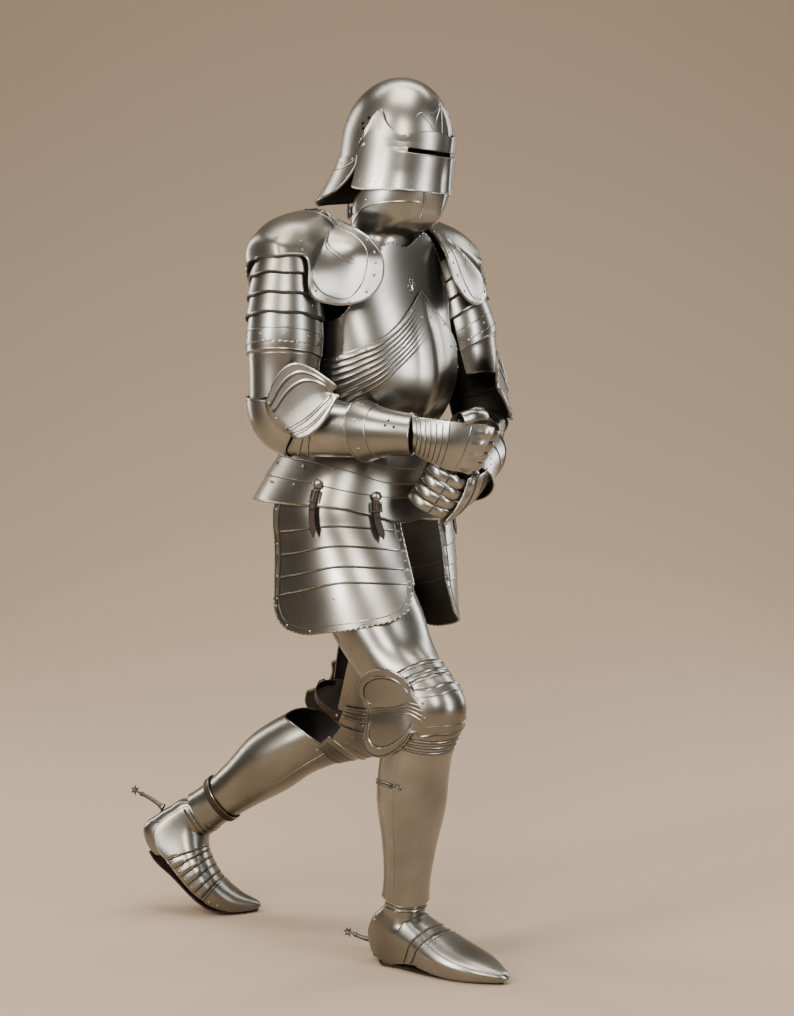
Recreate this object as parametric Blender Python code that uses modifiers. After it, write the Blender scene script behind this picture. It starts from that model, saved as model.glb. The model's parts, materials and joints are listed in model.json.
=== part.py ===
"""Plate armour for a walking figure: a hollow suit of steel plates, as worn.

Metres, +Z up, the wearer faces -Y and their left side is +X. The origin is the middle of the waist.
Each plate is an open sheet laid on a form (torso, arm, leg, foot, head) and given its wall with Solidify.
"""
import math

import bmesh
import bpy
import numpy as np
from mathutils import Matrix

# ---------------------------------------------------------------- driving sizes
WALL = 0.0020            # steel plates
LEATHER = 0.0030         # straps
STEP = 0.0028            # one plate lying on the next
SIDES = {"right": -1.0, "left": 1.0}

# joints of the worn pose: x, y, z
POSE = {
    "right": {
        "shoulder": (-0.226, -0.029, 0.314), "elbow": (-0.221, -0.009, 0.020),
        "wrist": (-0.092, -0.229, 0.004),
        "knuckle": (-0.020, -0.318, -0.007), "grip": (-0.004, -0.274, -0.008),
        "hip": (-0.066, 0.004, -0.187), "knee": (-0.074, -0.219, -0.501), "ankle": (-0.030, -0.134, -0.909),
        "instep": (-0.026, -0.138, -0.938), "toe": (-0.007, -0.372, -0.974),
    },
    "left": {
        "shoulder": (0.188, -0.030, 0.316), "elbow": (0.228, -0.086, 0.035), "wrist": (0.077, -0.209, -0.082),
        "knuckle": (-0.008, -0.262, -0.104), "grip": (-0.021, -0.223, -0.099),
        "hip": (0.082, 0.016, -0.195), "knee": (0.123, 0.182, -0.580), "ankle": (-0.013, 0.482, -0.806),
        "instep": (-0.020, 0.502, -0.838), "toe": (0.060, 0.372, -0.974),
    },
}

HEAD = (0.003, -0.087, 0.532)      # middle of the sallet bowl
HEAD_YAW = 12.0                    # toward the wearer's left
HEAD_BOW = 10.0                    # chin down
BOWL = (0.106, 0.112, 0.090, 0.126)  # front, back, side, height

# torso: height, middle y, half width, front, back, ridge
TORSO = [
    (-0.060, 0.003, 0.140, 0.118, 0.112, 0.002),
    (-0.025, 0.001, 0.130, 0.108, 0.102, 0.004),
    (0.010, 0.000, 0.130, 0.116, 0.102, 0.010),
    (0.050, -0.004, 0.142, 0.142, 0.108, 0.012),
    (0.100, -0.008, 0.152, 0.158, 0.115, 0.010),
    (0.160, -0.014, 0.153, 0.150, 0.122, 0.007),
    (0.220, -0.022, 0.152, 0.127, 0.125, 0.004),
    (0.280, -0.032, 0.150, 0.106, 0.127, 0.002),
    (0.330, -0.043, 0.138, 0.090, 0.118, 0.000),
    (0.370, -0.052, 0.115, 0.078, 0.100, 0.000),
    (0.410, -0.058, 0.092, 0.070, 0.080, 0.000),
]
# hips: height, middle y, half width, front, back, ridge
HIPS = [
    (-0.010, 0.000, 0.137, 0.124, 0.118, 0.0),
    (-0.045, 0.002, 0.152, 0.134, 0.150, 0.0),
    (-0.090, 0.006, 0.174, 0.146, 0.182, 0.0),
    (-0.135, 0.010, 0.190, 0.156, 0.206, 0.0),
    (-0.180, 0.014, 0.196, 0.166, 0.212, 0.0),
    (-0.380, 0.020, 0.200, 0.190, 0.214, 0.0),
]
# neck and chin: height, middle y, half width, front, back, ridge
THROAT = [
    (0.315, -0.048, 0.112, 0.072, 0.10, 0.000),
    (0.345, -0.056, 0.080, 0.057, 0.075, 0.002),
    (0.366, -0.060, 0.070, 0.056, 0.070, 0.006),
    (0.390, -0.068, 0.074, 0.088, 0.072, 0.014),
    (0.415, -0.074, 0.082, 0.096, 0.075, 0.012),
    (0.445, -0.080, 0.084, 0.104, 0.080, 0.006),
    (0.470, -0.084, 0.082, 0.104, 0.080, 0.002),
]
# limbs: distance below the joint, depth on the outside of the bend, depth on the inside, half width
ARM = [
    (-0.330, 0.058, 0.058, 0.058),
    (-0.290, 0.063, 0.063, 0.063),
    (-0.250, 0.067, 0.067, 0.067),
    (-0.210, 0.069, 0.069, 0.069),
    (-0.155, 0.070, 0.070, 0.070),
    (-0.125, 0.066, 0.066, 0.065),
    (-0.060, 0.062, 0.062, 0.060),
    (0.000, 0.064, 0.060, 0.057),
    (0.060, 0.055, 0.056, 0.050),
    (0.120, 0.051, 0.050, 0.047),
    (0.200, 0.042, 0.040, 0.041),
    (0.280, 0.036, 0.034, 0.038),
]
LEG = [
    (-0.400, 0.082, 0.090, 0.088),
    (-0.280, 0.080, 0.090, 0.086),
    (-0.180, 0.074, 0.086, 0.084),
    (-0.100, 0.070, 0.074, 0.072),
    (-0.050, 0.084, 0.064, 0.064),
    (0.000, 0.110, 0.058, 0.062),
    (0.050, 0.076, 0.064, 0.061),
    (0.110, 0.057, 0.074, 0.063),
    (0.180, 0.056, 0.076, 0.062),
    (0.270, 0.047, 0.056, 0.048),
    (0.340, 0.043, 0.046, 0.042),
    (0.380, 0.0445, 0.0465, 0.043),
    (0.440, 0.0445, 0.0465, 0.043),
]
# foot: station, depth on the top side, half width
FOOT = {
    "right": [
        (0, 0.0320, 0.0295), (1, 0.0325, 0.0300), (2, 0.043, 0.041), (3, 0.035, 0.045), (4, 0.022, 0.048),
        (5, 0.014, 0.037), (6, 0.005, 0.008),
    ],
    "left": [
        (0, 0.0320, 0.0300), (1, 0.0320, 0.0300), (2, 0.045, 0.042), (3, 0.043, 0.045), (4, 0.031, 0.048),
        (5, 0.021, 0.037), (6, 0.005, 0.008),
    ],
}
# foot: station, depth on the heel and sole side
HEEL = {
    "right": [
        (0, 0.0320), (0.6, 0.0320), (1, 0.0345), (1.5, 0.060), (2, 0.092), (2.2, 0.094), (2.5, 0.068),
        (3, 0.044), (4, 0.030), (5, 0.019), (6, 0.006),
    ],
    "left": [
        (0, 0.0325), (0.5, 0.0325), (1, 0.0325), (1.5, 0.047), (1.8, 0.052), (2, 0.066), (2.2, 0.084),
        (2.5, 0.080), (3, 0.050), (4, 0.030), (5, 0.019), (6, 0.006),
    ],
}
FOOT_TOP = {"right": 0.62, "left": 0.88}      # station of the upper edge at the ankle
HEEL_END = {"right": 2.08, "left": 2.36}   # station where the heel plate stops above the sole
GROUND = -0.985                          # underside of the plates of the standing foot
# middle line of each foot from the shin to the toe, one point a station
FOOT_LINE = {
    "right": [
        (-0.040, -0.150, -0.821), (-0.034, -0.139, -0.880), (-0.029, -0.140, -0.925),
        (-0.024, -0.190, -0.945),
        (-0.019, -0.255, -0.960), (-0.013, -0.315, -0.971), (-0.007, -0.370, -0.981),
    ],
    "left": [
        (0.018, 0.415, -0.755), (-0.003, 0.460, -0.789), (-0.020, 0.494, -0.822), (-0.028, 0.484, -0.877),
        (-0.008, 0.443, -0.938), (0.022, 0.404, -0.970), (0.062, 0.366, -0.980),
    ],
}
# middle line of each sole from the heel to the toe
SOLE_LINE = {
    "right": [
        (-0.038, -0.092, -0.990), (-0.032, -0.150, -0.990), (-0.020, -0.255, -0.990),
        (-0.008, -0.366, -0.990),
    ],
    "left": [
        (-0.067, 0.553, -0.873), (-0.043, 0.508, -0.917), (-0.004, 0.432, -0.980), (0.060, 0.366, -0.990),
    ],
}
SPUR = {"right": (-0.050, -0.006, -0.950), "left": (-0.073, 0.594, -0.753)}   # pin of each rowel
ROWEL_R = 0.011
PIN_R = 0.0011
ROWEL_THICK = 0.0018
PIN_ROOM = 0.0004        # gap round the pin

# ---------------------------------------------------------------- numbers
def vec(p):
    return np.array(p, dtype=float)


def unit(v):
    return v / np.linalg.norm(v)


def smooth(table, t):
    """Rows of a section table at t, joined smoothly."""
    rows = np.array(table, dtype=float)
    rows = rows[np.argsort(rows[:, 0])]
    x, y = rows[:, 0], rows[:, 1:]
    slope = np.gradient(y, x, axis=0)
    t = np.clip(np.asarray(t, dtype=float), x[0], x[-1])
    i = np.clip(np.searchsorted(x, t, side="right") - 1, 0, len(x) - 2)
    span = x[i + 1] - x[i]
    s = ((t - x[i]) / span)[:, None]
    h = span[:, None]
    return (
        (2 * s**3 - 3 * s**2 + 1) * y[i] + (s**3 - 2 * s**2 + s) * h * slope[i]
        + (3 * s**2 - 2 * s**3) * y[i + 1] + (s**3 - s**2) * h * slope[i + 1]
    )


def power(v, e):
    return np.sign(v) * np.abs(v) ** e


# ---------------------------------------------------------------- forms
def ring_form(table, square=0.88, yaw=0.0):
    """Upright form: u is the height, v the angle from the front toward the wearer's left."""
    turn = math.radians(yaw)

    def point(u, v):
        mid, half, front, back, ridge = smooth(table, u).T
        s, c = np.sin(v), np.cos(v)
        keel = ridge * np.clip(1 - np.abs(v) / 0.5, 0, 1) ** 1.5
        depth = np.where(c > 0, front + keel, back)
        x = half * power(s, square)
        y = -depth * power(c, square)
        return np.stack([
            x * math.cos(turn) - y * math.sin(turn), mid + x * math.sin(turn) + y * math.cos(turn), u + 0 * x,
        ], axis=1)

    return point


def limb_form(top, joint, end, blend, table, outer, square=0.95):
    """Bent form: u is the distance past the joint, v the angle from the bend's outside toward `outer`."""
    top, joint, end = vec(top), vec(joint), vec(end)
    d1, d2 = unit(joint - top), unit(end - joint)
    bend = unit(d1 - d2)
    side = unit(np.cross(d1, bend))
    if side @ vec(outer) < 0:
        side = -side

    def point(u, v):
        k = np.clip((u + blend) / (2 * blend), 0, 1)[:, None]
        before = np.minimum(u + blend, 0)[:, None]
        after = np.maximum(u - blend, 0)[:, None]
        base = joint + (1 - k) ** 2 * (-blend * d1) + k**2 * (blend * d2) + before * d1 + after * d2
        along = (1 - k) * d1 + k * d2
        along = along / np.linalg.norm(along, axis=1)[:, None]
        n = bend - (along @ bend)[:, None] * along
        n = n / np.linalg.norm(n, axis=1)[:, None]
        out, back, half = smooth(table, u).T
        s, c = power(np.sin(v), square), power(np.cos(v), square)
        depth = np.where(c > 0, out, back)
        return base + n * (depth * c)[:, None] + side * (half * s)[:, None]

    point.joint, point.d1, point.d2, point.bend, point.side = joint, d1, d2, bend, side
    return point


def head_form():
    """Bowl: u runs 0 at the crown to 1 at the middle, then on down by tenths of a metre; v as ring_form."""
    yaw, bow = math.radians(HEAD_YAW), math.radians(HEAD_BOW)
    ahead = vec((math.sin(yaw) * math.cos(bow), -math.cos(yaw) * math.cos(bow), -math.sin(bow)))
    left = vec((math.cos(yaw), math.sin(yaw), 0.0))
    crown = np.cross(left, -ahead)
    crown = crown if crown[2] > 0 else -crown
    front, back, half, high = BOWL

    def point(u, v, flare=0.0):
        a = np.clip(u, 0, 1) * math.pi / 2
        low = np.maximum(u - 1, 0) * 0.1
        s, c = np.sin(v), np.cos(v)
        size = np.sin(a) + flare
        keel = 1 + 0.03 * np.exp(-(s / 0.12) ** 2) * np.sin(a)
        depth = np.where(c > 0, front, back) * size * keel
        rise = high * np.cos(a) - low
        return (
            vec(HEAD) + ahead * (depth * c)[:, None] + left * (half * size * s)[:, None]
            + crown * rise[:, None]
        )

    point.ahead, point.left, point.crown = ahead, left, crown
    return point


def lift(form, u, v, h):
    """Points of a form raised h along its outward normal."""
    e = 1e-4
    across = form(u + e, v) - form(u - e, v)
    around = form(u, v + e) - form(u, v - e)
    n = np.cross(across, around)
    n = n / np.maximum(np.linalg.norm(n, axis=1), 1e-12)[:, None]
    p = form(u, v)
    away = p - form(u, v + math.pi)
    n = n * np.sign(np.sum(n * away, axis=1))[:, None]
    return p + n * np.asarray(h).reshape(-1, 1)


# ---------------------------------------------------------------- sheets
PARTS = bpy.data.collections.new("plate_armour")
MATERIALS = {"steel": ((0.50, 0.50, 0.48), 1.0, 0.32), "leather": ((0.10, 0.045, 0.025), 0.0, 0.6)}


def material(name, kind):
    colour, metal, rough = MATERIALS[kind]
    mat = bpy.data.materials.new(name)
    mat.use_nodes = True
    shader = mat.node_tree.nodes["Principled BSDF"]
    shader.inputs["Base Color"].default_value = (*colour, 1)
    shader.inputs["Metallic"].default_value = metal
    shader.inputs["Roughness"].default_value = rough
    return mat


def sheet(name, rows, cols, place, wall=WALL, kind="steel", closed=False, core=None):
    """A grid of rows x cols faces, each corner put by place(p, q), given its wall inward."""
    bpy.ops.mesh.primitive_grid_add(x_subdivisions=cols, y_subdivisions=rows, size=1)
    obj = bpy.context.object
    obj.name = obj.data.name = name
    mesh = obj.data
    flat = np.empty(len(mesh.vertices) * 3)
    mesh.vertices.foreach_get("co", flat)
    flat = flat.reshape(-1, 3) + 0.5
    points = place(flat[:, 0], flat[:, 1])
    mesh.vertices.foreach_set("co", points.ravel())
    bm = bmesh.new()
    bm.from_mesh(mesh)
    if closed:
        bmesh.ops.remove_doubles(bm, verts=bm.verts, dist=1e-5)
    bmesh.ops.recalc_face_normals(bm, faces=bm.faces)
    bm.normal_update()
    middle = vec(core) if core is not None else points.mean(axis=0)
    away = type(bm.faces[:1][0].normal)(middle)
    facing = sum(f.normal.dot(f.calc_center_median() - away) * f.calc_area() for f in bm.faces)
    if facing < 0:
        bmesh.ops.reverse_faces(bm, faces=bm.faces)
    bm.to_mesh(mesh)
    bm.free()
    thick = obj.modifiers.new("wall", "SOLIDIFY")
    thick.thickness = wall
    thick.offset = -1
    finish(obj, kind)
    return obj


def finish(obj, kind):
    obj.data.materials.append(material(obj.name, kind))
    for collection in list(obj.users_collection):
        collection.objects.unlink(obj)
    PARTS.objects.link(obj)
    obj.data.shade_smooth()
    obj.data.set_sharp_from_angle(angle=math.radians(35))


def band(form, v0, v1, low, high, h=0.0, roll=0.0):
    """Place function for a band between two edge curves, low(v) and high(v), v0 to v1 in degrees."""
    def place(p, q):
        v = np.radians(v0 + (v1 - v0) * p)
        a, b = low(np.degrees(v)), high(np.degrees(v))
        u = a + (b - a) * q
        return lift(form, u, v, h + roll * q**3)
    return place


def level(value):
    return lambda v: value + 0 * v


def curve(*pairs):
    """Edge curve through (angle, value) pairs."""
    table = [(a, b) for a, b in pairs]
    return lambda v: smooth(table, v)[:, 0]


def mirrored(*pairs):
    """Edge curve through (angle from the front, value) pairs, alike on both sides."""
    table = [(a, b) for a, b in pairs]
    return lambda v: smooth(table, np.abs(v))[:, 0]


def angle_of(form, direction):
    """Angle, in degrees, at which a direction points on a limb above its joint."""
    n = form.bend - (form.bend @ form.d1) * form.d1
    d = vec(direction)
    return math.degrees(math.atan2(d @ form.side, d @ unit(n)))


def spine_form(line, table, heel, outer, square=0.9, flat=0.55):
    """Form round a bent middle line: u is the station, v the angle from the heel and sole side."""
    stations = [(i, *p) for i, p in enumerate(line)]
    a, b, c = vec(line[1]), vec(line[3]), vec(line[-2])
    side = unit(np.cross(b - a, c - b))
    if side @ vec(outer) < 0:
        side = -side
    sole = unit(np.cross(side, c - b))
    if sole @ ((a - b) + (c - b)) > 0:
        sole = -sole
    turn = 1.0 if np.cross(c - b, side) @ sole > 0 else -1.0

    def point(u, v):
        u = np.asarray(u, dtype=float)
        base = smooth(stations, u)
        along = smooth(stations, u + 0.02) - smooth(stations, u - 0.02)
        n = turn * np.cross(along, side)
        n = n / np.linalg.norm(n, axis=1)[:, None]
        low, (top, half) = smooth(heel, u)[:, 0], smooth(table, u).T
        s, c = np.sin(v), np.cos(v)
        blunt = np.where(c > 0, flat, square)
        depth = np.where(c > 0, low, top)
        p = base + n * (depth * power(c, blunt))[:, None] + side * (half * power(s, blunt))[:, None]
        p[:, 2] = np.maximum(p[:, 2], GROUND)
        return p

    point.side = side
    return point


def net(rows):
    """Place function for a sheet through a table of rows of points."""
    rows = np.array(rows, dtype=float)
    count, across = rows.shape[:2]
    lengthwise = np.hstack([np.arange(count)[:, None], rows.reshape(count, -1)])

    def place(p, q):
        cut = smooth(lengthwise, p * (count - 1)).reshape(-1, across, 3)
        steps = np.arange(across)[:, None]
        return np.array([smooth(np.hstack([steps, line]), [t * (across - 1)])[0] for line, t in zip(cut, q)])

    return place


def rounded(place, p0, q0):
    """The same place function with its last corner, past p0 and q0, drawn in to a round one."""
    def at(p, q):
        a = np.clip((p - p0) / (1 - p0), 0, 1)
        b = np.clip((q - q0) / (1 - q0), 0, 1)
        p = np.where(p > p0, p0 + (1 - p0) * a * np.sqrt(1 - b * b / 2), p)
        q = np.where(q > q0, q0 + (1 - q0) * b * np.sqrt(1 - a * a / 2), q)
        return place(p, q)

    return at


def winged(form, v0, v1, low, high, h, wing, axes, cup=0.5):
    """Place function for a joint's cup that runs on at the side as a two-lobed wing.

    Wing rows give the upper edge, the lower edge and how far the middle is drawn back, in the
    plane of the axes.
    """
    joint, e1, e2, side = (vec(a) for a in axes)
    knots = []
    for row in wing:
        x1, y1, x2, y2, xm, ym, out = row
        knots.append([*(joint + e1 * x1 + e2 * y1 + side * out), *(joint + e1 * xm + e2 * ym + side * out),
                      *(joint + e1 * x2 + e2 * y2 + side * out)])
    edge = math.radians(v1)
    vv = np.full(3, edge)
    a, b = low(np.array([v1]))[0], high(np.array([v1]))[0]
    first = lift(form, np.array([a, (a + b) / 2, b]), vv, h)
    table = [[0.0, *first.ravel()]] + [[i + 1.0, *k] for i, k in enumerate(knots)]

    def place(p, q):
        on_cup = band(form, v0, v1, low, high, h)(np.clip(p / cup, 0, 1), q)
        t = np.clip((p - cup) / (1 - cup), 0, 1) * len(knots)
        cut = smooth(table, t).reshape(-1, 3, 3)
        w0 = ((1 - q) * (1 - 2 * q))[:, None]
        w1 = (4 * q * (1 - q))[:, None]
        w2 = (q * (2 * q - 1))[:, None]
        on_wing = cut[:, 0] * w0 + cut[:, 1] * w1 + cut[:, 2] * w2
        return np.where((p <= cup + 1e-9)[:, None], on_cup, on_wing)

    return place


# ---------------------------------------------------------------- head
SIGHT = (52.0, 0.985, 1.060)       # half width in degrees, top and bottom of the slot down the bowl
VISOR_EDGE = mirrored((0, 0.86), (25, 0.82), (45, 0.85), (62, 0.89), (77, 0.81), (90, 0.70), (94, 0.78),
                      (99, 0.96), (103, 1.12))


def flared(form):
    def point(u, v):
        grow = np.clip((u - 1.35) / 0.8, 0, 1.2) ** 1.4
        back = 0.25 + 0.75 * np.clip(-np.cos(v), 0, 1) ** 1.5
        return form(u, v, 0.27 * grow * back)
    return point


def head():
    form = head_form()
    core = vec(HEAD)
    skull_edge = mirrored((0, 0.935), (50, 0.935), (64, 0.985), (78, 1.10), (95, 1.25), (125, 1.44),
                          (180, 1.47))
    sheet("sallet_skull", 6, 16, band(form, -180, 180, level(0.0), skull_edge), closed=True, core=core)
    tail_edge = mirrored((104, 1.44), (110, 1.68), (120, 1.92), (140, 2.14), (180, 2.34))
    tail_top = mirrored((104, 1.24), (125, 1.34), (180, 1.36))
    sheet("sallet_tail", 4, 14, band(flared(form), 104, 256, lambda v: tail_top(180 - np.abs(180 - v)),
          lambda v: tail_edge(180 - np.abs(180 - v)), STEP), core=core)
    visor()
    bevor = ring_form(THROAT, 0.92, yaw=HEAD_YAW)
    rim = mirrored((0, 0.468), (50, 0.466), (90, 0.455), (115, 0.430), (128, 0.400))
    sheet("bevor", 6, 12, band(bevor, -128, 128, level(0.318), rim), core=(0, -0.07, 0.40))


def visor():
    form = head_form()
    half, top, bottom = SIGHT
    low = mirrored((0, 1.71), (60, 1.72), (95, 1.73), (103, 1.70))
    columns = [-103, -94, -82, -66, -half, -39, -26, -13, 0, 13, 26, 39, half, 66, 82, 94, 103]

    def place(p, q):
        v = np.interp(p, np.linspace(0, 1, len(columns)), columns)
        upper, lower = VISOR_EDGE(v), low(v)
        row = np.round(q * 5)
        u = np.choose(row.astype(int), [
            upper, np.minimum(upper * 0.4 + top * 0.6, top), np.full(len(v), top), np.full(len(v), bottom),
            (bottom + lower) / 2, lower,
        ])
        u = np.where((row == 2) & (np.abs(v) > half + 1), np.maximum(u, upper * 0.3 + bottom * 0.7), u)
        ledge = np.where(row >= 3, 0.0025 * np.clip((75 - np.abs(v)) / 20, 0, 1), 0.0)
        flare = np.select([row == 5, row == 0], [0.004, 0.0015], 0.0)
        return lift(form, u, np.radians(v), 0.0058 + ledge + flare)

    obj = sheet("sallet_visor", 5, len(columns) - 1, place, core=HEAD)
    cut_slot(obj, len(columns) - 1, 4, 12, 2)


def cut_slot(obj, columns, first, last, row):
    """Takes the faces of one row out of a grid, from column first to column last."""
    mesh = obj.data
    bm = bmesh.new()
    bm.from_mesh(mesh)
    bm.faces.ensure_lookup_table()
    gone = [f for i, f in enumerate(bm.faces) if i // columns == row and first <= i % columns < last]
    bmesh.ops.delete(bm, geom=gone, context="FACES")
    bm.to_mesh(mesh)
    bm.free()


# ---------------------------------------------------------------- torso
def torso():
    form = ring_form(TORSO)
    core = (0, -0.02, 0.18)
    neck = curve((-96, 0.200), (-80, 0.204), (-66, 0.215), (-50, 0.242), (-36, 0.288), (-28, 0.340),
                 (-22, 0.354), (-12, 0.343), (-4, 0.346), (4, 0.362), (12, 0.370), (20, 0.362), (28, 0.335),
                 (36, 0.288), (50, 0.242), (66, 0.215), (80, 0.204), (96, 0.200))
    sheet("breastplate", 7, 12, band(form, -90, 90, level(-0.028), neck), core=core)
    fan = mirrored((0, 0.262), (6, 0.240), (16, 0.212), (32, 0.180), (55, 0.155), (84, 0.132))
    sheet("plackart", 5, 12, band(form, -90, 90, level(-0.030), fan, 0.0068), core=core)
    nape = mirrored((75, 0.196), (87, 0.200), (100, 0.215), (118, 0.275), (134, 0.345), (150, 0.385),
                    (180, 0.392))
    back = band(form, 75, 285, level(-0.028), lambda v: nape(180 - np.abs(180 - v)), -0.0045)
    sheet("backplate", 6, 14, back, core=core)


def skirt():
    form = ring_form(HIPS)
    core = (0, 0.01, -0.08)
    sheet("fauld_hoop_1", 1, 20, band(form, -180, 180, level(-0.014), level(-0.046), 0.0072), closed=True,
          core=core)
    sheet("fauld_hoop_2", 1, 20, band(form, -180, 180, level(-0.036), level(-0.084), 0.0036), closed=True,
          core=core)
    hem = mirrored((0, -0.156), (9, -0.160), (16, -0.160), (26, -0.150), (40, -0.139), (98, -0.127),
                   (112, -0.126), (180, -0.128))
    sheet("fauld_hoop_3", 2, 20, band(form, -180, 180, level(-0.074), hem), closed=True, core=core)


TASSET = {
    "right": [
        (-0.090, 0.006, 0.174, 0.146, 0.182, 0.0), (-0.135, 0.010, 0.190, 0.156, 0.206, 0.0),
        (-0.165, 0.012, 0.190, 0.166, 0.206, 0.0), (-0.200, 0.012, 0.186, 0.180, 0.202, 0.0),
        (-0.280, 0.012, 0.184, 0.218, 0.196, 0.0), (-0.380, 0.012, 0.182, 0.260, 0.192, 0.0),
    ],
    "left": [
        (-0.090, 0.006, 0.174, 0.146, 0.182, 0.0), (-0.135, 0.010, 0.190, 0.156, 0.206, 0.0),
        (-0.165, 0.012, 0.192, 0.162, 0.206, 0.0), (-0.200, 0.014, 0.192, 0.168, 0.204, 0.0),
        (-0.280, 0.016, 0.190, 0.176, 0.200, 0.0), (-0.380, 0.018, 0.188, 0.184, 0.196, 0.0),
    ],
}
TASSET_TOP = -0.114
TASSET_SPAN = {"right": (11, 21, 101), "left": (16, 20, 106)}
TASSET_DROP = {"right": 0.0, "left": -0.018}
STRAPS = {"front": (29.0, -0.112, 0.078), "rear": (71.0, -0.088, 0.096)}   # angle, upper end, length


def tassets():
    for side, way in SIDES.items():
        form = ring_form(TASSET[side])
        near, near_low, far = TASSET_SPAN[side]
        drop = TASSET_DROP[side]
        hem = curve((near_low, -0.285), (near_low + 4, -0.311), (near_low + 12, -0.329), (50, -0.344),
                    (70, -0.358), (88, -0.364), (far - 6, -0.352), (far - 2, -0.334), (far, -0.312))

        def place(p, q):
            lean = near + (near_low - near) * q
            v = lean + (far - lean) * p
            u = TASSET_TOP + (hem(v) + drop * q - TASSET_TOP) * q
            return lift(form, u, np.radians(way * v), np.interp(q, [0, 0.2, 1], [-0.0075, -0.0070, 0.002]))

        sheet(f"tasset_{side}", 5, 10, place, core=(0, 0, -0.25))
        for name, (angle, top, length) in STRAPS.items():
            def strap(p, q):
                v = way * (angle - 1.8 + 3.6 * p)
                return lift(form, top - length * q, np.radians(v), 0.0062)

            sheet(f"tasset_strap_{side}_{name}", 4, 1, strap, LEATHER, "leather", core=(0, 0, -0.15))


# ---------------------------------------------------------------- arms
# shoulder plate, rows from the back edge round to the chest: outward, forward, up from the shoulder
PAULDRON = [
    [(-0.104, -0.080, 0.066), (-0.098, -0.100, 0.030), (-0.082, -0.108, -0.010), (-0.058, -0.104, -0.050),
     (-0.032, -0.092, -0.080)],
    [(-0.104, -0.052, 0.086), (-0.060, -0.080, 0.070), (-0.012, -0.090, 0.035), (0.018, -0.084, -0.010),
     (0.022, -0.078, -0.050)],
    [(-0.104, -0.028, 0.098), (-0.052, -0.038, 0.094), (0.005, -0.045, 0.074), (0.050, -0.045, 0.038),
     (0.062, -0.045, 0.000)],
    [(-0.104, -0.006, 0.096), (-0.050, 0.006, 0.086), (0.006, 0.020, 0.068), (0.050, 0.028, 0.038),
     (0.062, 0.034, 0.013)],
    [(-0.106, 0.006, 0.087), (-0.073, 0.036, 0.067), (-0.033, 0.052, 0.044), (0.000, 0.064, 0.021),
     (0.017, 0.070, 0.010)],
    [(-0.106, 0.034, 0.075), (-0.058, 0.062, 0.044), (-0.020, 0.072, 0.010), (0.006, 0.079, -0.026),
     (0.016, 0.078, -0.056)],
    [(-0.108, 0.066, 0.062), (-0.074, 0.097, 0.025), (-0.053, 0.102, -0.015), (-0.035, 0.098, -0.054),
     (-0.022, 0.088, -0.081)],
    [(-0.118, 0.093, 0.045), (-0.121, 0.119, 0.015), (-0.118, 0.127, -0.021), (-0.103, 0.124, -0.068),
     (-0.067, 0.111, -0.106)],
]


def rear_edge(v):
    """Rear edge of a gauntlet cuff: long over the back of the forearm, cut back on the other side."""
    return 0.158 - 0.027 * np.cos(np.radians(v - 110))


def arms():
    for side, way in SIDES.items():
        pose = POSE[side]
        shoulder = vec(pose["shoulder"])
        form = limb_form(pose["shoulder"], pose["elbow"], pose["wrist"], 0.060, ARM, ELBOW_OUT[side])
        out = angle_of(form, (way, 0, 0))
        arch = angle_of(form, (way, -0.9, 0))
        back, front = REACH[side]
        reach = (back, front) if math.sin(math.radians(arch - out)) > 0 else (front, back)
        room, lean_out, lean_on = PAULDRON_ROOM[side]
        rows = [
            [shoulder + vec((
                way * (o + room * (o + 0.104) / 0.1 - lean_out * min(u, 0)),
                -(f + room / 2 - lean_on * min(u, 0)),
                u + room / 2,
            )) for o, f, u in row] for row in PAULDRON
        ]
        core = shoulder + vec((-way * 0.05, 0, -0.05))
        if side == "right":
            shoulder_strap(net(rows))
        sheet(f"pauldron_{side}", 5, 10, rounded(net(rows), 0.74, 0.50), core=core)
        over, under = form.joint - 0.2 * form.d1, form.joint - 0.12 * form.d1
        for i, (top, low) in enumerate(ARM_LAMES):
            sheet(f"arm_lame_{i + 1}_{side}", 1, 10, lame(form, out, arch, top, low, reach), core=over)
        sheet(f"upper_cannon_{side}", 5, 10, cannon(form, out, arch, [r - 4 for r in reach]), core=under)
        couter(side, form)
        mouth = mirrored((0, 0.024), (90, 0.046), (180, 0.078))
        sheet(f"lower_cannon_{side}", 3, 12, band(form, -180, 180, mouth, level(0.180), 0.0), closed=True,
              core=form.joint + 0.1 * form.d2)
        sheet(f"gauntlet_cuff_{side}", 2, 12, band(form, -180, 180, level(0.245), rear_edge, 0.004, 0.010),
              closed=True, core=form.joint + 0.2 * form.d2)
        hand(side)


def shoulder_strap(plate):
    """Leather strap from the top of the right shoulder plate over its neck edge."""
    spots = [plate(np.array([a]), np.array([b]))[0] for a, b in [(0.20, 0.30), (0.21, 0.16), (0.22, 0.01)]]
    up = vec((0.10, 0.10, 1.0))
    line = [spots[0] + 0.0052 * up, spots[1] + 0.0062 * up, spots[2] + 0.0052 * up,
            spots[2] + vec((0.024, 0.004, 0.002))]
    wide = unit(np.cross(line[1] - line[0], up))

    def place(p, q):
        at = smooth([(i, *c) for i, c in enumerate(line)], 3 * q)
        return at + wide * (0.011 * (2 * p - 1))[:, None]

    sheet("shoulder_strap_right", 5, 2, place, LEATHER, "leather", core=spots[1] - 0.2 * up)


ARM_LAMES = [(-0.320, -0.280), (-0.297, -0.245), (-0.262, -0.210)]
CANNON_TOP = -0.225
ARCH = 0.020
REACH = {"right": (134, 134), "left": (134, 148)}    # how far round the arm, at the back and at the front


def lame(form, out, arch, top, low, reach):
    """Place function for a band round the upper arm, open toward the body, arched, its foot standing out."""
    back, front = reach

    def place(p, q):
        v = np.radians(out - back + (back + front) * p)
        u = top + (low - top) * q + ARCH * (1 - np.cos(v - math.radians(arch)))
        return lift(form, u, v, -0.0045 + 0.0065 * q)
    return place


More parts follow.
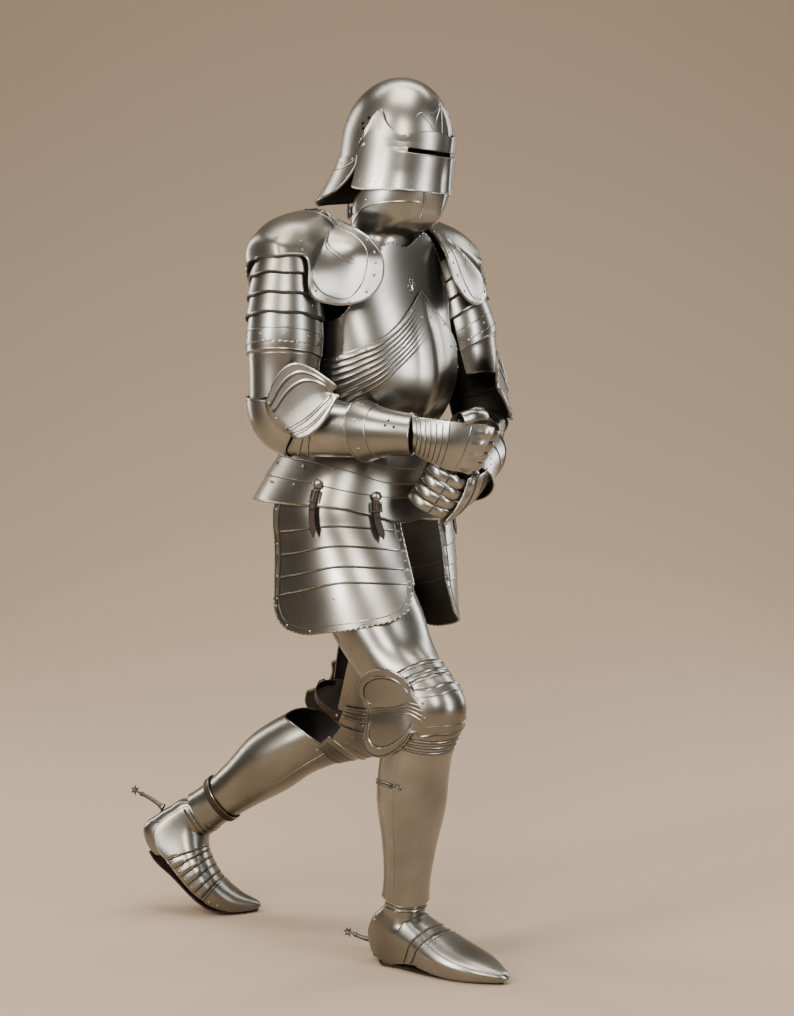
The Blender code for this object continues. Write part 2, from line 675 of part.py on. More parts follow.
def cannon(form, out, arch, reach):
    """Place function for the upper cannon: its turning rim stands out over the straight tube below."""
    back, front = reach

    def place(p, q):
        v = np.radians(out - back + (back + front) * p)
        bow = ARCH * (1 - np.cos(v - math.radians(arch)))
        low = -0.042 - 0.034 * (1 - np.cos(v)) / 2
        rim = CANNON_TOP + (q / 0.4) * (-0.144 - CANNON_TOP) + bow
        tube = -0.144 + bow + (low + 0.144 - bow) * (q - 0.4) / 0.6
        u = np.where(q <= 0.4, rim, tube)
        return lift(form, u, v, np.interp(q, [0, 0.4, 0.6, 1], [-0.0045, 0.002, -0.001, -0.001]))
    return place


# elbow wing: upper edge, lower edge, middle (along the forearm, up the arm), distance out
COUTER_WING = [
    (-0.010, 0.049, 0.046, -0.016, 0.018, 0.014, 0.068),
    (0.004, 0.083, 0.064, -0.012, 0.036, 0.032, 0.071),
    (0.020, 0.106, 0.082, 0.000, 0.054, 0.048, 0.073),
    (0.043, 0.118, 0.097, 0.016, 0.071, 0.061, 0.075),
    (0.071, 0.112, 0.108, 0.034, 0.088, 0.069, 0.076),
    (0.098, 0.097, 0.117, 0.052, 0.101, 0.071, 0.075),
    (0.120, 0.082, 0.125, 0.066, 0.110, 0.070, 0.073),
]
# knee wing: upper edge, lower edge, middle (back, up), distance out
POLEYN_WING = [
    (-0.051, 0.060, -0.043, -0.030, -0.045, 0.012, 0.059),
    (-0.031, 0.080, -0.023, -0.049, -0.025, 0.012, 0.067),
    (-0.006, 0.088, 0.012, -0.063, 0.004, 0.013, 0.075),
    (0.024, 0.087, 0.044, -0.066, 0.030, 0.014, 0.079),
    (0.053, 0.076, 0.066, -0.056, 0.046, 0.015, 0.081),
    (0.070, 0.052, 0.077, -0.032, 0.054, 0.015, 0.080),
]
# how far each shoulder plate stands off, and how it leans outward and forward with its arm
PAULDRON_ROOM = {"right": (0.0, 0.0, 0.0), "left": (0.005, 0.04, 0.20)}
ELBOW_OUT = {"right": (-1, 0, 0), "left": (0.3, -1, 0.2)}


def couter(side, form):
    low = curve((-62, -0.060), (0, -0.052), (50, -0.050), (78, -0.048))
    high = curve((-62, 0.036), (0, 0.032), (50, 0.030), (78, 0.034))
    along = unit(form.d1 + form.d2)
    axes = (form.joint, unit(along - form.bend), unit(-along - form.bend), form.side)
    place = winged(form, -62, 78, low, high, 1.8 * STEP, COUTER_WING, axes, 0.5)
    sheet(f"couter_{side}", 5, 12, place, core=form.joint)


def hand(side):
    pose = POSE[side]
    wrist, grip = vec(pose["wrist"]), vec(pose["grip"])
    g = unit(vec(POSE["right"]["grip"]) - vec(POSE["left"]["grip"]))
    e = grip - wrist
    e = unit(e - (e @ g) * g)
    n = np.cross(e, g) * (1 if side == "right" else -1)
    reach = (grip - wrist) @ e
    # wrist, middle of the hand, knuckles, then round the grip: along the hand, toward its back, half width
    back = [(0, -reach - 0.018, 0.018, 0.028), (1, -reach * 0.5, 0.044, 0.045), (2, 0.012, 0.048, 0.049)]
    curl = [(0, 0.008, 0.0435, 0.044), (1, 0.032, 0.029, 0.044), (2, 0.043, -0.004, 0.044),
            (3, 0.032, -0.036, 0.043), (4, 0.004, -0.044, 0.042), (5, -0.022, -0.032, 0.040)]
    drop = (wrist - grip) @ g
    arm = unit(wrist - vec(pose["elbow"]))
    cross = unit(g - (g @ arm) * arm)

    def across(table, bow):
        def place(p, q):
            t = q * table[-1][0]
            x, y, half = smooth(table, t).T
            s = 2 * p - 1
            shift = drop * np.clip(-x / reach, 0, 1)
            y = y - bow * s**2 * np.clip(1 - 0.5 * q, 0, 1)
            near = np.clip(-x / reach, 0, 1)[:, None]
            wide = near * cross + (1 - near) * g
            return grip + e * x[:, None] + n * y[:, None] + g * shift[:, None] + wide * (half * s)[:, None]
        return place

    sheet(f"gauntlet_hand_{side}", 4, 6, across(back, 0.016), core=grip)
    sheet(f"gauntlet_fingers_{side}", 7, 3, across(curl, 0.006), core=grip)


# ---------------------------------------------------------------- legs
def legs():
    for side, way in SIDES.items():
        pose = POSE[side]
        out = vec((way, 0, 0)) if side == "right" else vec((0.85, 0.5, 0))
        form = limb_form(pose["hip"], pose["knee"], pose["ankle"], 0.070, LEG, out)
        knee, up = form.joint, -unit(form.d1 + form.d2)
        sheet(f"cuisse_{side}", 4, 12, band(form, -100, 122, level(-0.300), level(-0.052), 0.0),
              core=knee - 0.17 * form.d1)
        sheet(f"knee_lames_upper_{side}", 2, 9,
              band(form, -92, 76, level(-0.062), level(-0.022), 0.0036, -0.001), core=knee)
        low = curve((-86, -0.018), (0, -0.026), (30, -0.025), (45, -0.030))
        high = curve((-86, 0.018), (0, 0.026), (30, 0.025), (45, 0.028))
        back = unit(-form.bend - (-form.bend @ up) * up)
        place = winged(form, -86, 45, low, high, 0.0072, POLEYN_WING, (knee, back, up, form.side), 0.5)
        sheet(f"poleyn_{side}", 5, 14, place, core=knee + 0.02 * back)
        sheet(f"knee_lames_lower_{side}", 2, 9,
              band(form, -92, 76, level(0.062), level(0.022), 0.0036, -0.001), core=knee)
        top = mirrored((0, 0.054), (90, 0.056), (180, 0.095))
        sheet(f"greave_{side}", 4, 14, band(form, -180, 180, top, level(0.372), 0.0), closed=True,
              core=knee + 0.2 * form.d2)
        if side == "left":
            around = band(form, -180, 180, level(0.312), level(0.326), 0.0052)
            sheet("ankle_strap_left", 1, 14, around, LEATHER,
                  "leather", closed=True, core=knee + 0.335 * form.d2)
        foot(side, out)


def foot(side, out):
    form = spine_form(FOOT_LINE[side], FOOT[side], HEEL[side], out)
    mid = vec(FOOT_LINE[side][2])
    top = level(FOOT_TOP[side])
    sheet(f"heel_plate_{side}", 4, 8, band(form, -88, 88, top, level(HEEL_END[side]), 0.0, -0.003), core=mid)
    over = 0.0034 if side == "right" else 0.0041
    sheet(f"sabaton_lames_{side}", 6, 10, band(form, 66, 294, top, level(4.3), over),
          core=vec(FOOT_LINE[side][3]))
    sheet(f"toe_cap_{side}", 4, 10, band(form, 66, 294, level(4.2), level(6.0), 0.0072, -0.003),
          core=vec(FOOT_LINE[side][5]))
    line = [(i, *p) for i, p in enumerate(SOLE_LINE[side])]
    flat = unit(form.side * vec((1, 1, 0)))

    def sole(p, q):
        t = 3 * q
        half = smooth([(0, 0.018), (0.2, 0.029), (1, 0.033), (2, 0.041), (2.6, 0.027), (3, 0.006)], t)[:, 0]
        return smooth(line, t) + flat * (half * (2 * p - 1))[:, None]

    sheet(f"sole_{side}", 8, 2, sole, 0.0035, "leather", core=mid)
    heel = lift(form, np.array([1.90]), np.array([0.0]), 0.0040)[0]
    spur(side, heel, form.side)


def spur(side, root, across):
    """Shank from the heel, forked for a pin, and the rowel that turns on it."""
    tip = vec(SPUR[side])
    d = unit(tip - root)
    across = unit(across - (across @ d) * d)
    up = np.cross(across, d)
    length = np.linalg.norm(tip - root)
    frame = Matrix((tuple(across), tuple(d), tuple(up))).transposed().to_4x4()
    frame.translation = tip
    fork = ROWEL_R + 0.003
    shank = block(f"spur_{side}", [
        (-length, 0.0065, 0.0055), (-length * 0.72, 0.0036, 0.0036), (-fork, 0.0036, 0.0030),
    ])
    for way in (-1, 1):
        prong = block("prong", [(-fork - 0.003, 0.0011, 0.0030), (0.004, 0.0011, 0.0028)], way * 0.0025)
        join(shank, prong, "UNION")
    bpy.ops.mesh.primitive_cylinder_add(vertices=10, radius=PIN_R, depth=0.0064, rotation=(0, math.pi / 2, 0))
    join(shank, bpy.context.object, "UNION")
    bpy.ops.mesh.primitive_cylinder_add(vertices=12, radius=ROWEL_R, depth=ROWEL_THICK,
                                        rotation=(0, math.pi / 2, 0))
    rowel = bpy.context.object
    rowel.name = rowel.data.name = f"rowel_{side}"
    bpy.ops.object.transform_apply(location=False, rotation=True, scale=False)
    for vert in rowel.data.vertices:
        turn = round(math.atan2(vert.co.z, vert.co.y) / (math.pi / 6))
        if turn % 2:
            vert.co.y *= 0.55
            vert.co.z *= 0.55
    bpy.ops.mesh.primitive_cylinder_add(vertices=10, radius=PIN_R + PIN_ROOM, depth=0.01,
                                        rotation=(0, math.pi / 2, 0))
    join(rowel, bpy.context.object, "DIFFERENCE")
    for obj in (shank, rowel):
        finish(obj, "steel")
    shank.data.transform(frame)
    rowel.data.transform(frame.to_3x3().to_4x4())
    rowel.location = tip


def block(name, stations, aside=0.0):
    """A bar along +Y through square sections: y, half width, half height."""
    bpy.ops.mesh.primitive_grid_add(x_subdivisions=4, y_subdivisions=len(stations) - 1, size=1)
    obj = bpy.context.object
    obj.name = obj.data.name = name
    for vert in obj.data.vertices:
        y, wide, high = stations[round((vert.co.y + 0.5) * (len(stations) - 1))]
        corner = round((vert.co.x + 0.5) * 4) % 4
        vert.co = (aside + wide * (-1, 1, 1, -1)[corner], y, high * (-1, -1, 1, 1)[corner])
    bm = bmesh.new()
    bm.from_mesh(obj.data)
    bmesh.ops.remove_doubles(bm, verts=bm.verts, dist=1e-6)
    bmesh.ops.holes_fill(bm, edges=bm.edges)
    bmesh.ops.recalc_face_normals(bm, faces=bm.faces)
    bm.to_mesh(obj.data)
    bm.free()
    return obj


def join(obj, other, how):
    """Boolean of one solid with another, which is then removed."""
    bpy.context.view_layer.objects.active = obj
    cut = obj.modifiers.new("cut", "BOOLEAN")
    cut.operation = how
    cut.solver = "EXACT"
    cut.object = other
    bpy.ops.object.modifier_apply(modifier=cut.name)
    bpy.data.objects.remove(other)


def main():
    for obj in list(bpy.data.objects):
        bpy.data.objects.remove(obj)
    bpy.context.scene.collection.children.link(PARTS)
    head()
    torso()
    skirt()
    tassets()
    arms()
    legs()


main()
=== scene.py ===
"""Plate armour for a walking figure: the finished plates, their fittings and straps, and the stage.

Metres, +Z up, the wearer faces -Y and their left side is +X. Every plate lies on the same forms (torso, hips,
arm, leg, foot, head) as the frame it stands for, worked finer, with its flutes, turned edges and rivets.
"""

import json
import math

import bpy
import numpy as np
from mathutils import Matrix, Vector

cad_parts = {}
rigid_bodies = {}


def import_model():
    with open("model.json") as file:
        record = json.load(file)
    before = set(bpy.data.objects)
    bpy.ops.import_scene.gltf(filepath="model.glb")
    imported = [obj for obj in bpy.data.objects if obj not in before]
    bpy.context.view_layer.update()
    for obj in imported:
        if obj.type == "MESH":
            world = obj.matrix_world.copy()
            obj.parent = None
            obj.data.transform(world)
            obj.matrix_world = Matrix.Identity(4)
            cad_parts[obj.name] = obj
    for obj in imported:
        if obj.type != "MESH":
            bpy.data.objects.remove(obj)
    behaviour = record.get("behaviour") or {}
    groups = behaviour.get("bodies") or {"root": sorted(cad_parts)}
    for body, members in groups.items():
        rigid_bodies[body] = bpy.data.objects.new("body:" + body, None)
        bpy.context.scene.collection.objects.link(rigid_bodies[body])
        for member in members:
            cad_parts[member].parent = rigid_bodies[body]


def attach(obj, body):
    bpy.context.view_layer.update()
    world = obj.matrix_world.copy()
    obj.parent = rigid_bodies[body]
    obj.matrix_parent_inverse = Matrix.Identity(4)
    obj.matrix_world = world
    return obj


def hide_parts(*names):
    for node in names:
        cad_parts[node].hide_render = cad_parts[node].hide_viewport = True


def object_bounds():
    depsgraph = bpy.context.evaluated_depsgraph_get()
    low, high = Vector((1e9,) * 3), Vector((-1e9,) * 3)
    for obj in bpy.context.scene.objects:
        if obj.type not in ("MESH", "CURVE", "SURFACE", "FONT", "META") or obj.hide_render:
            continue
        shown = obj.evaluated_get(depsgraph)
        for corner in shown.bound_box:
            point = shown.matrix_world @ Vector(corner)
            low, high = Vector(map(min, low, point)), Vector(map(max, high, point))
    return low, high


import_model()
CAD_BOX = [list(corner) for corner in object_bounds()]

bl_info = {
    "name": "Walking plate armour",
    "version": (1, 0, 0),
    "blender": (4, 5, 0),
    "location": "View3D > Sidebar > Armour",
    "description": "Builds a suit of fluted plate armour in a walking pose, with its straps and spurs",
    "category": "Add Mesh",
}


# ---------------------------------------------------------------- settings
class ArmourSizes(bpy.types.PropertyGroup):
    """Sizes shared by all plates."""

    wall: bpy.props.FloatProperty(
        name="Wall", description="Thickness of the plates", default=0.0020, min=0.001, max=0.004,
        unit="LENGTH")
    lame_wall: bpy.props.FloatProperty(
        name="Lame wall", description="Thickness of narrow overlapping lames", default=0.0011, unit="LENGTH")
    leather: bpy.props.FloatProperty(
        name="Leather", description="Thickness of the straps", default=0.0028, unit="LENGTH")
    rim: bpy.props.FloatProperty(
        name="Turned edge", description="Radius of a turned edge", default=0.0017, unit="LENGTH")
    rope: bpy.props.FloatProperty(
        name="Roped edge", description="Radius of a roped edge", default=0.0021, unit="LENGTH")
    line: bpy.props.FloatProperty(
        name="Raised line", description="Radius of a raised line", default=0.0011, unit="LENGTH")
    rivet: bpy.props.FloatProperty(
        name="Rivet", description="Radius of a rivet head", default=0.0030, unit="LENGTH")
    flute: bpy.props.FloatProperty(
        name="Flute", description="Depth of the fluting", default=0.0008, unit="LENGTH")


class ArmourColours(bpy.types.PropertyGroup):
    """Colours of the steel and the leather."""

    steel: bpy.props.FloatVectorProperty(
        name="Steel", description="Polished plates", default=(0.37, 0.362, 0.33), subtype="COLOR",
        min=0, max=1)
    tarnish: bpy.props.FloatVectorProperty(
        name="Tarnish", description="Dull patches on the plates", default=(0.19, 0.178, 0.155),
        subtype="COLOR", min=0, max=1)
    # Also the colour of the dark lines laid beside raised edges and under the edges of lames: painted gap
    # shade.
    inside: bpy.props.FloatVectorProperty(
        name="Inside", description="Unpolished inside of the plates", default=(0.085, 0.078, 0.07),
        subtype="COLOR", min=0, max=1)
    leather: bpy.props.FloatVectorProperty(
        name="Leather", description="Straps", default=(0.020, 0.011, 0.008), subtype="COLOR", min=0, max=1)


class StageSettings(bpy.types.PropertyGroup):
    """Floor, lights and camera."""

    floor: bpy.props.FloatVectorProperty(
        name="Floor", description="Floor and backdrop", default=(0.345, 0.265, 0.188), subtype="COLOR",
        min=0, max=1)
    ground: bpy.props.FloatProperty(
        name="Ground", description="Height of the floor", default=CAD_BOX[0][2] - 0.0005, unit="LENGTH")
    turn: bpy.props.FloatProperty(
        name="Camera turn", description="Camera angle round the suit, from its front",
        default=math.radians(-46), subtype="ANGLE")
    rise: bpy.props.FloatProperty(
        name="Camera rise", description="Camera angle above level", default=math.radians(4), subtype="ANGLE")
    away: bpy.props.FloatProperty(
        name="Camera distance", description="Distance to the middle of the suit", default=4.55, unit="LENGTH")
    lens: bpy.props.FloatProperty(name="Lens", description="Focal length in millimetres", default=85)
    light: bpy.props.FloatProperty(name="Light", description="Strength of the soft lights", default=1.0)


# ---------------------------------------------------------------- pose and sections
STEP = 0.0028            # one plate lying on the next
SIDES = {"right": -1.0, "left": 1.0}
POSE = {
    "right": {
        "shoulder": (-0.226, -0.029, 0.314), "elbow": (-0.221, -0.009, 0.020),
        "wrist": (-0.092, -0.229, 0.004), "grip": (-0.004, -0.274, -0.008),
        "hip": (-0.066, 0.004, -0.187), "knee": (-0.074, -0.219, -0.501), "ankle": (-0.030, -0.134, -0.909),
    },
    "left": {
        "shoulder": (0.188, -0.030, 0.316), "elbow": (0.228, -0.086, 0.035),
        "wrist": (0.077, -0.209, -0.082), "grip": (-0.021, -0.223, -0.099),
        "hip": (0.082, 0.016, -0.195), "knee": (0.123, 0.182, -0.580), "ankle": (-0.013, 0.482, -0.806),
    },
}

HEAD = (0.003, -0.087, 0.532)      # middle of the sallet bowl
HEAD_YAW = 12.0                    # toward the wearer's left
HEAD_BOW = 10.0                    # chin down
BOWL = (0.106, 0.112, 0.090, 0.126)  # front, back, side, height

# torso: height, middle y, half width, front, back, ridge
TORSO = [
    (-0.060, 0.003, 0.140, 0.118, 0.112, 0.002),
    (-0.025, 0.001, 0.130, 0.108, 0.102, 0.004),
    (0.010, 0.000, 0.130, 0.116, 0.102, 0.010),
    (0.050, -0.004, 0.142, 0.142, 0.108, 0.012),
    (0.100, -0.008, 0.152, 0.158, 0.115, 0.010),
    (0.160, -0.014, 0.153, 0.150, 0.122, 0.007),
    (0.220, -0.022, 0.152, 0.127, 0.125, 0.004),
    (0.280, -0.032, 0.150, 0.106, 0.127, 0.002),
    (0.330, -0.043, 0.138, 0.090, 0.118, 0.000),
    (0.370, -0.052, 0.115, 0.078, 0.100, 0.000),
    (0.410, -0.058, 0.092, 0.070, 0.080, 0.000),
]
# hips: height, middle y, half width, front, back, ridge
HIPS = [
    (-0.010, 0.000, 0.137, 0.124, 0.118, 0.0),
    (-0.045, 0.002, 0.152, 0.134, 0.150, 0.0),
    (-0.090, 0.006, 0.174, 0.146, 0.182, 0.0),
    (-0.135, 0.010, 0.190, 0.156, 0.206, 0.0),
    (-0.180, 0.014, 0.196, 0.166, 0.212, 0.0),
    (-0.380, 0.020, 0.200, 0.190, 0.214, 0.0),
]
# neck and chin: height, middle y, half width, front, back, ridge
THROAT = [
    (0.315, -0.048, 0.112, 0.072, 0.10, 0.000),
    (0.345, -0.056, 0.080, 0.057, 0.075, 0.002),
    (0.366, -0.060, 0.070, 0.056, 0.070, 0.006),
    (0.390, -0.068, 0.074, 0.088, 0.072, 0.014),
    (0.415, -0.074, 0.082, 0.096, 0.075, 0.012),
    (0.445, -0.080, 0.084, 0.104, 0.080, 0.006),
    (0.470, -0.084, 0.082, 0.104, 0.080, 0.002),
]
# limbs: distance below the joint, depth on the outside of the bend, depth on the inside, half width
ARM = [
    (-0.330, 0.058, 0.058, 0.058),
    (-0.290, 0.063, 0.063, 0.063),
    (-0.250, 0.067, 0.067, 0.067),
    (-0.210, 0.069, 0.069, 0.069),
    (-0.155, 0.070, 0.070, 0.070),
    (-0.125, 0.066, 0.066, 0.065),
    (-0.060, 0.062, 0.062, 0.060),
    (0.000, 0.064, 0.060, 0.057),
    (0.060, 0.055, 0.056, 0.050),
    (0.120, 0.051, 0.050, 0.047),
    (0.200, 0.042, 0.040, 0.041),
    (0.280, 0.036, 0.034, 0.038),
]
LEG = [
    (-0.400, 0.082, 0.090, 0.088),
    (-0.280, 0.080, 0.090, 0.086),
    (-0.180, 0.074, 0.086, 0.084),
    (-0.100, 0.070, 0.074, 0.072),
    (-0.050, 0.084, 0.064, 0.064),
    (0.000, 0.110, 0.058, 0.062),
    (0.050, 0.076, 0.064, 0.061),
    (0.110, 0.057, 0.074, 0.063),
    (0.180, 0.056, 0.076, 0.062),
    (0.270, 0.047, 0.056, 0.048),
    (0.340, 0.043, 0.046, 0.042),
    (0.380, 0.0445, 0.0465, 0.043),
    (0.440, 0.0445, 0.0465, 0.043),
]
# foot: station, depth on the top side, half width
FOOT = {
    "right": [
        (0, 0.0320, 0.0295), (1, 0.0325, 0.0300), (2, 0.043, 0.041), (3, 0.035, 0.045), (4, 0.022, 0.048),
        (5, 0.014, 0.037), (6, 0.005, 0.008),
    ],
    "left": [
        (0, 0.0320, 0.0300), (1, 0.0320, 0.0300), (2, 0.045, 0.042), (3, 0.043, 0.045), (4, 0.031, 0.048),
        (5, 0.021, 0.037), (6, 0.005, 0.008),
    ],
}
# foot: station, depth on the heel and sole side
HEEL = {
    "right": [
        (0, 0.0320), (0.6, 0.0320), (1, 0.0345), (1.5, 0.060), (2, 0.092), (2.2, 0.094), (2.5, 0.068),
        (3, 0.044), (4, 0.030), (5, 0.019), (6, 0.006),
    ],
    "left": [
        (0, 0.0325), (0.5, 0.0325), (1, 0.0325), (1.5, 0.047), (1.8, 0.052), (2, 0.066), (2.2, 0.084),
        (2.5, 0.080), (3, 0.050), (4, 0.030), (5, 0.019), (6, 0.006),
    ],
}
FOOT_TOP = {"right": 0.62, "left": 0.88}   # station of the upper edge at the ankle
HEEL_END = {"right": 2.08, "left": 2.36}   # station where the heel plate stops above the sole
GROUND = -0.985                            # underside of the plates of the standing foot
LEG_OUT = {"right": (-1, 0, 0), "left": (0.85, 0.5, 0)}   # way to the outside of each leg
# middle line of each foot from the shin to the toe, one point a station
FOOT_LINE = {
    "right": [
        (-0.040, -0.150, -0.821), (-0.034, -0.139, -0.880), (-0.029, -0.140, -0.925),
        (-0.024, -0.190, -0.945), (-0.019, -0.255, -0.960), (-0.013, -0.315, -0.971),
        (-0.007, -0.370, -0.981),
    ],
    "left": [
        (0.018, 0.415, -0.755), (-0.003, 0.460, -0.789), (-0.020, 0.494, -0.822), (-0.028, 0.484, -0.877),
        (-0.008, 0.443, -0.938), (0.022, 0.404, -0.970), (0.062, 0.366, -0.980),
    ],
}
# middle line of each sole from the heel to the toe
SOLE_LINE = {
    "right": [
        (-0.038, -0.092, -0.990), (-0.032, -0.150, -0.990), (-0.020, -0.255, -0.990),
        (-0.008, -0.366, -0.990),
    ],
    "left": [
        (-0.067, 0.553, -0.873), (-0.043, 0.508, -0.917), (-0.004, 0.432, -0.980), (0.060, 0.366, -0.990),
    ],
}
SPUR = {"right": (-0.050, -0.006, -0.950), "left": (-0.073, 0.594, -0.753)}   # pin of each rowel
ROWEL_R, ROWEL_THICK = 0.011, 0.0016
PIN_R = 0.0011
PIN_ROOM = 0.0004        # gap round the pin


# ---------------------------------------------------------------- numbers
def sizes():
    return bpy.context.scene.armour_sizes


def vec(p):
    return np.array(p, dtype=float)


def unit(v):
    return v / np.linalg.norm(v)


def units(rows):
    """Each row at length one."""
    return rows / np.maximum(np.linalg.norm(rows, axis=1), 1e-12)[:, None]


def gone_along(points):
    """Length of a polyline up to each of its points."""
    return np.concatenate([[0], np.cumsum(np.linalg.norm(np.diff(points, axis=0), axis=1))])


def joined(s, first, last, out_slope, in_slope):
    """Cubic from first to last with the given slopes at its ends, at the part s of the way."""
    return (
        (2 * s**3 - 3 * s**2 + 1) * first + (s**3 - 2 * s**2 + s) * out_slope
        + (3 * s**2 - 2 * s**3) * last + (s**3 - s**2) * in_slope
    )


def through(points, t):
    """Smooth line through points, one a step of t."""
    return smooth([(i, *point) for i, point in enumerate(points)], t)


def smooth(table, t):
    """Rows of a section table at t, joined smoothly."""
    rows = np.array(table, dtype=float)
    rows = rows[np.argsort(rows[:, 0])]
    x, y = rows[:, 0], rows[:, 1:]
    slope = np.gradient(y, x, axis=0)
    t = np.clip(np.asarray(t, dtype=float), x[0], x[-1])
    i = np.clip(np.searchsorted(x, t, side="right") - 1, 0, len(x) - 2)
    span = x[i + 1] - x[i]
    s = ((t - x[i]) / span)[:, None]
    h = span[:, None]
    return joined(s, y[i], y[i + 1], h * slope[i], h * slope[i + 1])


def power(v, e):
    return np.sign(v) * np.abs(v) ** e


# ---------------------------------------------------------------- forms
def ring_form(table, square=0.88, yaw=0.0):
    """Upright form: u is the height, v the angle from the front toward the wearer's left."""
    turn = math.radians(yaw)

    def point(u, v):
        mid, half, front, back, ridge = smooth(table, u).T
        s, c = np.sin(v), np.cos(v)
        keel = ridge * np.clip(1 - np.abs(v) / 0.5, 0, 1) ** 1.5
        depth = np.where(c > 0, front + keel, back)
        x = half * power(s, square)
        y = -depth * power(c, square)
        return np.stack([
            x * math.cos(turn) - y * math.sin(turn), mid + x * math.sin(turn) + y * math.cos(turn), u + 0 * x,
        ], axis=1)

    return point


def limb_form(top, joint, end, blend, table, outer, square=0.95):
    """Bent form: u is the distance past the joint, v the angle from the bend's outside toward `outer`."""
    top, joint, end = vec(top), vec(joint), vec(end)
    d1, d2 = unit(joint - top), unit(end - joint)
    bend = unit(d1 - d2)
    side = unit(np.cross(d1, bend))
    if side @ vec(outer) < 0:
        side = -side

    def point(u, v):
        k = np.clip((u + blend) / (2 * blend), 0, 1)[:, None]
        before = np.minimum(u + blend, 0)[:, None]
        after = np.maximum(u - blend, 0)[:, None]
        base = joint + (1 - k) ** 2 * (-blend * d1) + k**2 * (blend * d2) + before * d1 + after * d2
        along = units((1 - k) * d1 + k * d2)
        n = units(bend - (along @ bend)[:, None] * along)
        out, back, half = smooth(table, u).T
        s, c = power(np.sin(v), square), power(np.cos(v), square)
        depth = np.where(c > 0, out, back)
        return base + n * (depth * c)[:, None] + side * (half * s)[:, None]

    point.joint, point.d1, point.d2, point.bend, point.side = joint, d1, d2, bend, side
    return point


def head_form():
    """Bowl: u runs 0 at the crown to 1 at the middle, then on down by tenths of a metre; v as ring_form."""
    yaw, bow = math.radians(HEAD_YAW), math.radians(HEAD_BOW)
    ahead = vec((math.sin(yaw) * math.cos(bow), -math.cos(yaw) * math.cos(bow), -math.sin(bow)))
    left = vec((math.cos(yaw), math.sin(yaw), 0.0))
    crown = np.cross(left, -ahead)
    crown = crown if crown[2] > 0 else -crown
    front, back, half, high = BOWL

    def point(u, v, flare=0.0):
        a = np.clip(u, 0, 1) * math.pi / 2
        low = np.maximum(u - 1, 0) * 0.1
        s, c = np.sin(v), np.cos(v)
        size = np.sin(a) + flare
        keel = 1 + 0.03 * np.exp(-(s / 0.12) ** 2) * np.sin(a)
        depth = np.where(c > 0, front, back) * size * keel
        rise = high * np.cos(a) - low
        return (
            vec(HEAD) + ahead * (depth * c)[:, None] + left * (half * size * s)[:, None]
            + crown * rise[:, None]
        )

    point.ahead, point.left, point.crown = ahead, left, crown
    return point


def lift(form, u, v, h):
    """Points of a form raised h along its outward normal."""
    e = 1e-4
    across = form(u + e, v) - form(u - e, v)
    around = form(u, v + e) - form(u, v - e)
    n = units(np.cross(across, around))
    p = form(u, v)
    away = p - form(u, v + math.pi)
    n = n * np.sign(np.sum(n * away, axis=1))[:, None]
    return p + n * np.asarray(h).reshape(-1, 1)


def band(form, v0, v1, low, high, h=0.0, roll=0.0):
    """Place function for a band between two edge curves, low(v) and high(v), v0 to v1 in degrees."""
    def place(p, q):
        v = np.radians(v0 + (v1 - v0) * p)
        a, b = low(np.degrees(v)), high(np.degrees(v))
        u = a + (b - a) * q
        return lift(form, u, v, h + roll * q**3)
    return place


def level(value):
    return lambda v: value + 0 * v


def curve(*pairs):
    """Edge curve through (angle, value) pairs."""
    table = [(a, b) for a, b in pairs]
    return lambda v: smooth(table, v)[:, 0]


def mirrored(*pairs):
    """Edge curve through (angle from the front, value) pairs, alike on both sides."""
    table = [(a, b) for a, b in pairs]
    return lambda v: smooth(table, np.abs(v))[:, 0]


def angle_of(form, direction):
    """Angle, in degrees, at which a direction points on a limb above its joint."""
    n = form.bend - (form.bend @ form.d1) * form.d1
    d = vec(direction)
    return math.degrees(math.atan2(d @ form.side, d @ unit(n)))


def spine_form(line, table, heel, outer, square=0.9, flat=0.55):
    """Form round a bent middle line: u is the station, v the angle from the heel and sole side."""
    a, b, c = vec(line[1]), vec(line[3]), vec(line[-2])
    side = unit(np.cross(b - a, c - b))
    if side @ vec(outer) < 0:
        side = -side
    sole = unit(np.cross(side, c - b))
    if sole @ ((a - b) + (c - b)) > 0:
        sole = -sole
    turn = 1.0 if np.cross(c - b, side) @ sole > 0 else -1.0

    def point(u, v):
        u = np.asarray(u, dtype=float)
        base = through(line, u)
        along = through(line, u + 0.02) - through(line, u - 0.02)
        n = units(turn * np.cross(along, side))
        low, (top, half) = smooth(heel, u)[:, 0], smooth(table, u).T
        s, c = np.sin(v), np.cos(v)
        blunt = np.where(c > 0, flat, square)
        depth = np.where(c > 0, low, top)
        p = base + n * (depth * power(c, blunt))[:, None] + side * (half * power(s, blunt))[:, None]
        p[:, 2] = np.maximum(p[:, 2], GROUND)
        return p

    point.side = side
    return point


def rounded(place, p0, q0):
    """The same place function with its last corner, past p0 and q0, drawn in to a round one."""
    def at(p, q):
        a = np.clip((p - p0) / (1 - p0), 0, 1)
        b = np.clip((q - q0) / (1 - q0), 0, 1)
        p = np.where(p > p0, p0 + (1 - p0) * a * np.sqrt(1 - b * b / 2), p)
        q = np.where(q > q0, q0 + (1 - q0) * b * np.sqrt(1 - a * a / 2), q)
        return place(p, q)

    return at


